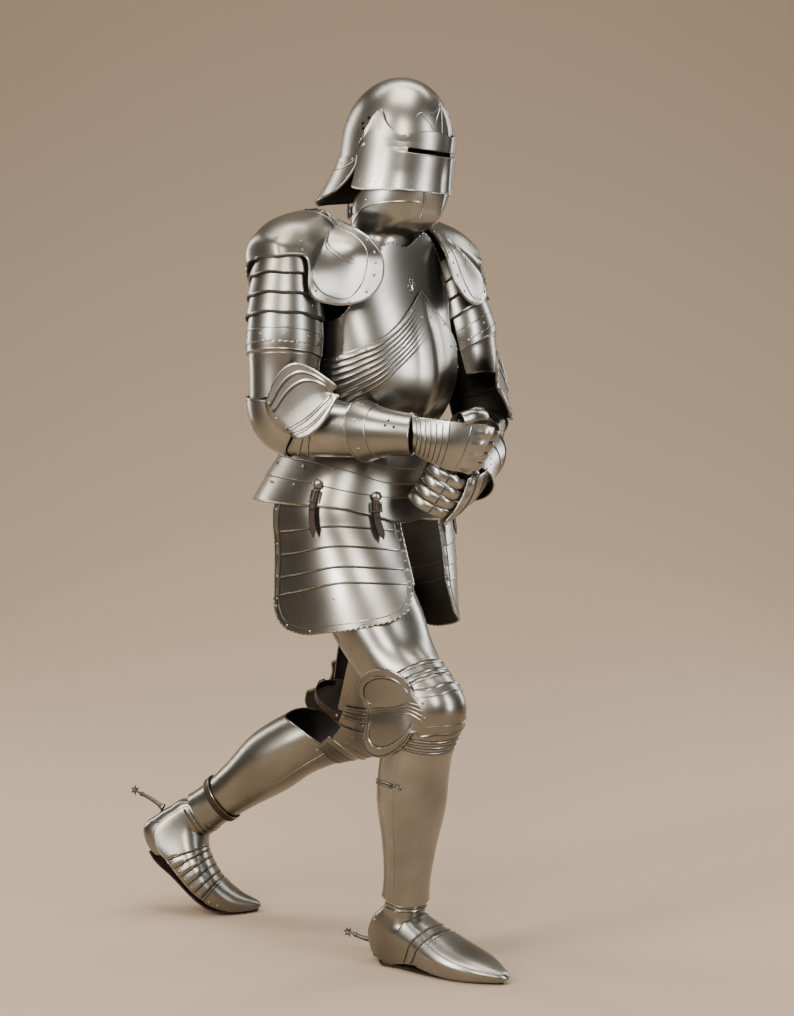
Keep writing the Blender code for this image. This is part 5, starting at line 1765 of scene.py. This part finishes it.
def foot(side):
    form = spine_form(FOOT_LINE[side], FOOT[side], HEEL[side], LEG_OUT[side])
    mid = vec(FOOT_LINE[side][2])
    start, end = FOOT_TOP[side], TOE_START[side] + 0.10

    heel_end = HEEL_END[side] + HEEL_WRAP[side]
    heel = Plate(band(form, -88, 88, level(start), level(heel_end), 0.0, -0.003), mid)
    heel.sheet(40, 34)
    heel.edge(TOP, 0.0014)
    heel.edge(BOTTOM, 0.0012)
    heel.line([(0.0, 0.60), (0.25, 0.64), (0.5, 0.66), (0.75, 0.64), (1, 0.60)], 0.0009, fade=True)
    heel.rivets([(0.05, 0.82), (0.95, 0.82)], 0.0024)
    heel.done(f"heel_plate_{side}")

    lames = FOOT_LAMES[side]

    def slanted(p, q):
        """Stations lean back down the sides of the foot, so the lames do too."""
        lean = 0.11 * (1 - np.sin(math.pi * np.clip(p, 0, 1))) if side == "right" else 0.0 * p
        return q - lean * np.clip((q - 0.25) / 0.4, 0, 1)

    flat = band(form, 66, 294, level(start), level(end), 0.0034 if side == "right" else 0.0041)
    steps = clinker(lames, 0.0012)

    def ankle(p, q):
        """The ankle lames stand out as far as the greave's hem."""
        out = np.clip(1 - q / 0.20, 0, 1) ** 0.8 * np.sin(math.pi * np.clip(p, 0, 1)) ** 0.6
        return steps(p, q) + ANKLE_OUT * out

    upper = Plate(lambda p, q: flat(p, slanted(p, q)), vec(FOOT_LINE[side][3]), ankle)
    upper.sheet(60, stops(50, *lames, gap=0.003))
    for q in lames:
        # The dark line beside each lame line is painted shadow under the lame's edge.
        upper.shaded(level_row(q - 0.003, 0), 0.0012, -0.0003, (0, 0.013), 0.0011, -0.0003)
    upper.edge(TOP, 0.0011)
    upper.sides()
    for p in (0.045, 0.955):
        upper.rivets([(p, q - 0.028) for q in lames if q > 0.3], 0.0023)
    for p in (0.15, 0.85):
        upper.rivets([(p, 0.025), (p, 0.077), (p, 0.135)], 0.0021)
    upper.done(f"sabaton_lames_{side}")

    toe_at = band(form, 66, 294, level(TOE_START[side]), level(6.0), 0.0, 0.0)
    rise = 0.0056 if side == "right" else 0.0066

    def toe_lean(p, q):
        back = 0.10 * (1 - np.sin(math.pi * np.clip(p, 0, 1))) if side == "right" else 0.0 * p
        close = np.clip((q - 0.93) / 0.07, 0, 1)[:, None] ** 2
        points = toe_at(p, q - back * (1 - q))
        return points + (vec(FOOT_LINE[side][6]) - points) * 0.80 * close

    toe = Plate(toe_lean, vec(FOOT_LINE[side][5]), lambda p, q: rise - 0.003 * q**3)
    toe.sheet(60, 38)
    toe.edge(TOP, 0.0014)
    toe.sides()
    toe.rivets([(0.045, 0.08), (0.955, 0.08), (0.05, 0.24), (0.95, 0.24), (0.30, 0.07), (0.70, 0.07)], 0.0023)
    toe.done(f"toe_cap_{side}")
    sole(side, form)
    spur(side, lift(form, np.array([1.90]), np.array([0.0]), 0.0030)[0], form.side)


def sole(side, form):
    flat = unit(form.side * vec((1, 1, 0)))
    widths = [(0, 0.018), (0.2, 0.029), (1, 0.033), (2, 0.041), (2.6, 0.027), (3, 0.006)]

    def place(p, q):
        half = smooth(widths, 3 * q)[:, 0]
        return through(SOLE_LINE[side], 3 * q) + flat * (half * (2 * p - 1))[:, None]

    plate = Plate(place, vec(FOOT_LINE[side][2]))
    plate.sheet(10, 44, wall=0.0033, kinds=("leather",))
    plate.done(f"sole_{side}", slot="leather")


def spur(side, root, across):
    """Shank from the heel, forked for a pin, and the rowel that turns on it."""
    tip = vec(SPUR[side])
    d = unit(tip - root)
    across = unit(across - (across @ d) * d)
    up = np.cross(across, d)
    length = np.linalg.norm(tip - root)
    fork = ROWEL_R + 0.0035
    gone = np.array([0, 0.004, 0.010, 0.018, 0.5 * length, length - fork - 0.006, length - fork - 0.003,
                     length - fork, length - fork + 0.003])
    radii = np.array([0.0054, 0.0066, 0.0048, 0.0044, 0.0040, 0.0038, 0.0050, 0.0048, 0.0028])
    at = np.linspace(gone[0], gone[-1], 40)
    bow = 0.0022 * np.sin(math.pi * at / gone[-1])
    points = root + d * at[:, None] + up * bow[:, None]
    normals = np.tile(up, (len(at), 1))
    shank = tube(points, normals, np.interp(at, gone, radii), 12, kind="iron")
    extras = []
    for way in (-1, 1):
        prong = np.array([(way * 0.0012, -fork), (way * 0.0029, -fork + 0.004), (way * 0.0031, -0.004),
                          (way * 0.0031, 0.0045)])
        line = tip + across * prong[:, :1] + d * prong[:, 1:]
        line = even(line, 0.0015)
        extras.append(tube(line, np.tile(up, (len(line), 1)), np.full(len(line), 0.0014), 8, kind="iron"))
        extras.append(stud(tip + across * way * 0.0042, across * way, 0.0022))
    pin = tip + across * np.linspace(-0.0042, 0.0042, 5)[:, None]
    extras.append(tube(pin, np.tile(up, (5, 1)), np.full(5, PIN_R), 10))
    foot_of_shank = root + d * np.linspace(-0.001, 0.003, 4)[:, None]
    collar = tube(foot_of_shank, np.tile(up, (4, 1)), np.full(4, 0.0085), 16)
    ready(join(shank, [*extras, collar]), f"spur_{side}", f"spur_{side}", angle=45)
    rowel(side, tip, across, d, up)


def rowel(side, tip, across, d, up):
    """A six-pointed star with a round eye for the pin."""
    bare()
    bpy.ops.mesh.primitive_cylinder_add(vertices=24, radius=ROWEL_R, depth=ROWEL_THICK,
                                        rotation=(0, math.pi / 2, 0))
    star = bpy.context.object
    bpy.ops.object.transform_apply(location=False, rotation=True, scale=False)
    for vert in star.data.vertices:
        turn = round(math.atan2(vert.co.z, vert.co.y) / (math.pi / 12)) % 4
        keep = {0: 1.0, 1: 0.66, 2: 0.46, 3: 0.66}[turn]
        vert.co.y *= keep
        vert.co.z *= keep
    coat(star, "iron")
    drilled(star, 16, PIN_R + PIN_ROOM, 0.01, (0, math.pi / 2, 0))
    modifier(star, "BEVEL", width=0.0003, segments=1, limit_method="ANGLE", angle_limit=math.radians(50))
    turned = Matrix((tuple(across), tuple(d), tuple(up))).transposed().to_4x4()
    turned.translation = tip
    star.data.transform(turned)
    ready(star, f"rowel_{side}", f"rowel_{side}", f"rowel_{side}", angle=30)


def sabatons():
    for side in SIDES:
        foot(side)


# ---------------------------------------------------------------- straps
def pointed(place, tail=0.86):
    """A strap's place function with its end cut to a point."""
    def at(p, q):
        keep = np.interp(q, [0, tail, 0.97, 1], [1, 1, 0.35, 0.08])
        return place(0.5 + (p - 0.5) * keep, q)
    return at


def strap_piece(place, core, name, nodes, rows, cols=6, tail=True, wall=None):
    plate = Plate(pointed(place) if tail else place, core, lambda p, q: 0.0005 * (1 - (2 * p - 1) ** 4))
    plate.sheet(cols, rows, wall=wall or sizes().leather, kinds=("leather",))
    plate.done_later = (name, nodes)
    return plate


def buckle(plate, q0, q1, over=0.32, h=0.0016):
    """A rectangular frame round the strap between q0 and q1, with its tongue."""
    corners = [(-over, q0), (1 + over, q0), (1 + over, q1), (-over, q1)]
    plate.line([*corners, corners[0]], 0.0017, h, False, kind="iron", step=0.0025)
    plate.line([(0.5, q0), (0.5, (q0 + q1) / 2), (0.5, q1)], 0.0010, h + 0.0004, kind="iron", step=0.0025)


def close(plate):
    name, nodes = plate.done_later
    plate.done(name, nodes, slot="leather")


def tasset_straps():
    for side, way in SIDES.items():
        form = ring_form(TASSET[side])
        for name, (angle, top, length) in STRAPS.items():
            def place(p, q, angle=angle, top=top, length=length):
                v = way * (angle - 2.1 + 4.2 * p)
                u = top + 0.002 - (length + 0.004) * q
                return lift(form, u, np.radians(v), 0.0064 + 0.0020 * np.clip((q - 0.6) / 0.4, 0, 1))

            node = f"tasset_strap_{side}_{name}"
            plate = strap_piece(place, (0, 0, -0.15), node, node, 34)
            buckle(plate, 0.17, 0.37)
            plate.line([(-0.06, 0.50), (0.5, 0.50), (1.06, 0.50)], 0.0020, 0.0008, kind="leather", step=0.003)
            plate.rivets([(0.5, 0.03)], 0.0088)
            # Small dark domes of the inside finish stand for the strap's holes: painted shade in the holes.
            plate.rivets([(0.5, q) for q in (0.62, 0.70, 0.78)], 0.0009, kind="inside")
            close(plate)


def shoulder_strap():
    place, _ = shoulder_place("right")
    spots = [place(np.array([a]), np.array([b]))[0] for a, b in [(0.20, 0.30), (0.21, 0.16), (0.22, 0.01)]]
    up = vec((0.10, 0.10, 1.0))
    line = [spots[0] + 0.0052 * up, spots[1] + 0.0062 * up, spots[2] + 0.0052 * up,
            spots[2] + vec((0.024, 0.004, 0.002))]
    wide = unit(np.cross(line[1] - line[0], up))

    def at(p, q):
        return through(line, 3 * q) + wide * (0.011 * (2 * p - 1))[:, None]

    node = "shoulder_strap_right"
    plate = strap_piece(at, spots[1] - 0.2 * up, node, node, 26, tail=False)
    plate.rivets([(0.5, 0.10), (0.5, 0.90)], 0.0034)
    buckle(plate, 0.52, 0.74, 0.18)
    close(plate)


def leg_straps():
    """Straps that close the thigh and knee plates behind each leg."""
    for side in SIDES:
        form = leg_form(side)
        for name, u, node in (("thigh", -0.268, "cuisse"), ("knee", -0.036, "poleyn")):
            def place(p, q, u=u):
                return lift(form, u - 0.009 + 0.018 * p, np.radians(116 + 150 * q), 0.0032)

            strap = f"{name}_strap_{side}"
            plate = strap_piece(place, form.joint + u * form.d1, strap, f"{node}_{side}", 34, tail=False)
            buckle(plate, 0.16, 0.28, 0.16)
            plate.rivets([(0.5, 0.03), (0.5, 0.97)], 0.0028)
            close(plate)


def ankle_strap():
    form = leg_form("left")
    place = band(form, -180, 180, level(0.312), level(0.326), 0.0052)
    plate = Plate(place, form.joint + 0.335 * form.d2)
    plate.sheet(90, 6, closed=True, wall=sizes().leather, kinds=("leather",))
    plate.edge(TOP, 0.0007, closed=True)
    corners = [(0.84, -0.25), (0.84, 1.25), (0.79, 1.25), (0.79, -0.25)]
    plate.line([*corners, corners[0]], 0.0014, 0.0016, False, kind="iron", step=0.0025)
    plate.line([(0.84, 0.5), (0.79, 0.5)], 0.0011, 0.0020, kind="iron", step=0.0025)
    plate.rivets([(0.72, 0.5), (0.90, 0.5)], 0.0028)
    plate.done("ankle_strap_left", slot="leather")


def bevor_strap():
    """Strap and buckle that hold the bevor round the nape."""
    form = ring_form(THROAT, 0.92, yaw=HEAD_YAW)

    def place(p, q):
        return lift(form, 0.402 + 0.018 * p, np.radians(124 + 112 * q), 0.0018)

    plate = strap_piece(place, (0, -0.06, 0.41), "bevor_strap", "bevor", 40, tail=False)
    buckle(plate, 0.80, 0.90, 0.20)
    plate.rivets([(0.5, 0.02), (0.5, 0.97)], 0.0030)
    close(plate)


def straps():
    tasset_straps()
    shoulder_strap()
    leg_straps()
    ankle_strap()
    bevor_strap()


# ---------------------------------------------------------------- stage
LOOK_AT = (0.0434, -0.0449, -0.1442)     # middle of the suit


def sweep(settings):
    """Floor that curves up into a backdrop, seen from the camera's side."""
    front, back, turn_up, high, half = 9.0, 1.1, 5.5, 6.0, 9.0
    arc = 1.57 * turn_up
    bend = settings.turn

    def place(p, q):
        s = q * (front + back + arc + high) - front
        over = np.clip((s - back) / turn_up, 0, math.pi / 2)
        y = np.minimum(s, back) + turn_up * np.sin(over)
        z = turn_up * (1 - np.cos(over)) + np.maximum(s - back - arc, 0)
        x = half * (2 * p - 1)
        return np.stack([x * math.cos(bend) - y * math.sin(bend), x * math.sin(bend) + y * math.cos(bend),
                         z + settings.ground], axis=1)

    q, p = np.meshgrid(np.linspace(0, 1, 61), np.linspace(0, 1, 3), indexing="ij")
    floor = grid(place(p.ravel(), q.ravel()).reshape(61, 3, 3))
    if floor.data.polygons[0].normal.z < 0:
        floor.data.flip_normals()
    floor.name = floor.data.name = "floor"
    mat, _, _, shader = fresh_material("pale_floor")
    shader.inputs["Base Color"].default_value = (*settings.floor, 1)
    shader.inputs["Roughness"].default_value = 0.9
    shader.inputs["Specular IOR Level"].default_value = 0.15
    floor.data.materials.append(mat)
    only(floor)
    bpy.ops.object.shade_smooth()


def lamp(name, place, aim, size, energy, colour):
    bare()
    bpy.ops.object.light_add(type="AREA", location=place)
    obj = bpy.context.object
    obj.name = name
    obj.data.shape = "RECTANGLE"
    obj.data.size, obj.data.size_y = size
    obj.data.energy = energy
    obj.data.color = colour
    obj.rotation_euler = (Vector(aim) - Vector(place)).to_track_quat("-Z", "Y").to_euler()


def stage():
    settings = bpy.context.scene.stage_settings
    sweep(settings)
    middle = vec(LOOK_AT)
    turn, rise = settings.turn, settings.rise
    back = vec((math.sin(turn) * math.cos(rise), -math.cos(turn) * math.cos(rise), math.sin(rise)))
    level_back = unit(vec((back[0], back[1], 0)))
    right = vec((math.cos(turn), math.sin(turn), 0))
    bare()
    bpy.ops.object.camera_add(location=middle + back * settings.away)
    camera = bpy.context.object
    camera.rotation_euler = Vector(-back).to_track_quat("-Z", "Y").to_euler()
    camera.data.lens = settings.lens
    camera.data.sensor_width = 36
    bpy.context.scene.camera = camera
    aim = middle + vec((0, 0, 0.10))
    warm, cool = (1.0, 0.955, 0.90), (0.96, 0.98, 1.0)
    # name, how far to the right, toward the camera and up, size, power, colour
    for name, side, ahead, high, size, energy, colour in (
        ("key_light", -1.9, 1.9, 1.6, (0.55, 2.4), 105, warm),
        ("front_light", -0.5, 3.6, 2.2, (0.8, 1.6), 90, warm),
        ("fill_light", 2.0, 1.9, 1.3, (0.55, 2.4), 75, cool),
        ("top_light", -0.2, 0.6, 3.4, (1.4, 1.4), 80, warm),
        ("rim_light", 2.0, -1.6, 1.4, (0.5, 2.4), 45, cool),
        ("back_light", -2.0, -1.4, 1.3, (0.5, 2.4), 40, warm),
    ):
        where = aim + right * side + level_back * ahead + vec((0, 0, high - 0.6))
        lamp(name, where, aim, size, energy * settings.light, colour)
    wall = aim - level_back * 5.0 + vec((0, 0, -0.6))
    above = aim - level_back * 0.9 + vec((0, 0, 3.6))
    lamp("wall_light", above, wall, (4.0, 1.0), 210 * settings.light, warm)
    world = bpy.context.scene.world or bpy.data.worlds.new("studio")
    bpy.context.scene.world = world
    world.use_nodes = True
    world.node_tree.nodes["Background"].inputs["Color"].default_value = (0.52, 0.46, 0.40, 1)
    world.node_tree.nodes["Background"].inputs["Strength"].default_value = 0.22


# ---------------------------------------------------------------- operators
class Builder:
    """Shared part of every operator: builds its pieces and raises an error if it made nothing or a mesh
    without faces.
    """

    bl_options = {"REGISTER", "UNDO"}
    steps = ()

    def execute(self, context):
        before = set(bpy.data.objects)
        for step in type(self).steps:
            step()
        made = [obj for obj in bpy.data.objects if obj not in before]
        if not made:
            raise RuntimeError(f"{self.bl_label} made nothing")
        for obj in made:
            if obj.type == "MESH" and not obj.data.polygons:
                raise RuntimeError(f"{obj.name} has no faces")
        return {"FINISHED"}


class ARMOUR_OT_sallet(Builder, bpy.types.Operator):
    """Build the sallet's bowl and tail"""

    bl_idname = "armour.sallet"
    bl_label = "Sallet"
    steps = (skull, tail)


class ARMOUR_OT_visor(Builder, bpy.types.Operator):
    """Build the visor with its sight slot, which turns on the side pivots"""

    bl_idname = "armour.visor"
    bl_label = "Visor"
    steps = (visor,)


class ARMOUR_OT_bevor(Builder, bpy.types.Operator):
    """Build the bevor that covers throat and chin"""

    bl_idname = "armour.bevor"
    bl_label = "Bevor"
    steps = (bevor,)


class ARMOUR_OT_cuirass(Builder, bpy.types.Operator):
    """Build the breastplate, the fluted plackart over it and the backplate"""

    bl_idname = "armour.cuirass"
    bl_label = "Cuirass"
    steps = (breastplate, plackart, backplate)


class ARMOUR_OT_fauld(Builder, bpy.types.Operator):
    """Build the hoops of the skirt"""

    bl_idname = "armour.fauld"
    bl_label = "Fauld"
    steps = (fauld,)


class ARMOUR_OT_tassets(Builder, bpy.types.Operator):
    """Build the two tassets that hang over the thighs"""

    bl_idname = "armour.tassets"
    bl_label = "Tassets"
    steps = (tassets,)


class ARMOUR_OT_pauldrons(Builder, bpy.types.Operator):
    """Build the shoulder plates"""

    bl_idname = "armour.pauldrons"
    bl_label = "Pauldrons"
    steps = (pauldrons,)


class ARMOUR_OT_arm_lames(Builder, bpy.types.Operator):
    """Build the lames below each shoulder plate"""

    bl_idname = "armour.arm_lames"
    bl_label = "Arm lames"
    steps = (arm_lames,)


class ARMOUR_OT_cannons(Builder, bpy.types.Operator):
    """Build the upper and lower cannons of the arms"""

    bl_idname = "armour.cannons"
    bl_label = "Cannons"
    steps = (upper_cannons, lower_cannons)


class ARMOUR_OT_couters(Builder, bpy.types.Operator):
    """Build the elbow cups with their fluted wings"""

    bl_idname = "armour.couters"
    bl_label = "Couters"
    steps = (couters,)


class ARMOUR_OT_gauntlets(Builder, bpy.types.Operator):
    """Build the gauntlets: cuff, back of the hand, fingers and thumb"""

    bl_idname = "armour.gauntlets"
    bl_label = "Gauntlets"
    steps = (gauntlets,)


class ARMOUR_OT_cuisses(Builder, bpy.types.Operator):
    """Build the thigh plates"""

    bl_idname = "armour.cuisses"
    bl_label = "Cuisses"
    steps = (cuisses,)


class ARMOUR_OT_poleyns(Builder, bpy.types.Operator):
    """Build the knee cups, their wings and the lames above and below"""

    bl_idname = "armour.poleyns"
    bl_label = "Poleyns"
    steps = (poleyns,)


class ARMOUR_OT_greaves(Builder, bpy.types.Operator):
    """Build the greaves with their clasps"""

    bl_idname = "armour.greaves"
    bl_label = "Greaves"
    steps = (greaves,)


class ARMOUR_OT_sabatons(Builder, bpy.types.Operator):
    """Build the foot armour, soles, spurs and rowels"""

    bl_idname = "armour.sabatons"
    bl_label = "Sabatons and spurs"
    steps = (sabatons,)


class ARMOUR_OT_straps(Builder, bpy.types.Operator):
    """Build the leather straps with their buckles"""

    bl_idname = "armour.straps"
    bl_label = "Straps"
    steps = (straps,)


class ARMOUR_OT_stage(Builder, bpy.types.Operator):
    """Build the floor, the lights and the camera"""

    bl_idname = "armour.stage"
    bl_label = "Stage"
    steps = (stage,)


OPERATORS = (
    ARMOUR_OT_sallet, ARMOUR_OT_visor, ARMOUR_OT_bevor, ARMOUR_OT_cuirass, ARMOUR_OT_fauld, ARMOUR_OT_tassets,
    ARMOUR_OT_pauldrons, ARMOUR_OT_arm_lames, ARMOUR_OT_cannons, ARMOUR_OT_couters, ARMOUR_OT_gauntlets,
    ARMOUR_OT_cuisses, ARMOUR_OT_poleyns, ARMOUR_OT_greaves, ARMOUR_OT_sabatons, ARMOUR_OT_straps,
    ARMOUR_OT_stage,
)


class ARMOUR_PT_sidebar(bpy.types.Panel):
    """Lists the pieces of the suit in the order they are built"""

    bl_idname = "ARMOUR_PT_sidebar"
    bl_label = "Walking plate armour"
    bl_space_type = "VIEW_3D"
    bl_region_type = "UI"
    bl_category = "Armour"

    def draw(self, context):
        layout = self.layout
        for group in (context.scene.armour_sizes, context.scene.armour_colours, context.scene.stage_settings):
            box = layout.box()
            for key in group.bl_rna.properties.keys():
                if key not in ("rna_type", "name"):
                    box.prop(group, key)
        for operator in OPERATORS:
            layout.operator(operator.bl_idname)


GROUPS = {"armour_sizes": ArmourSizes, "armour_colours": ArmourColours, "stage_settings": StageSettings}


def register():
    for cls in (*GROUPS.values(), *OPERATORS, ARMOUR_PT_sidebar):
        bpy.utils.register_class(cls)
    for key, cls in GROUPS.items():
        setattr(bpy.types.Scene, key, bpy.props.PointerProperty(type=cls))


def unregister():
    for key in GROUPS:
        delattr(bpy.types.Scene, key)
    for cls in (ARMOUR_PT_sidebar, *reversed(OPERATORS), *reversed(GROUPS.values())):
        bpy.utils.unregister_class(cls)


def main():
    register()
    for operator in OPERATORS:
        group, name = operator.bl_idname.split(".")
        getattr(getattr(bpy.ops, group), name)()
    for master in MASTERS.values():
        bpy.data.objects.remove(master)


if __name__ == "__main__":
    main()
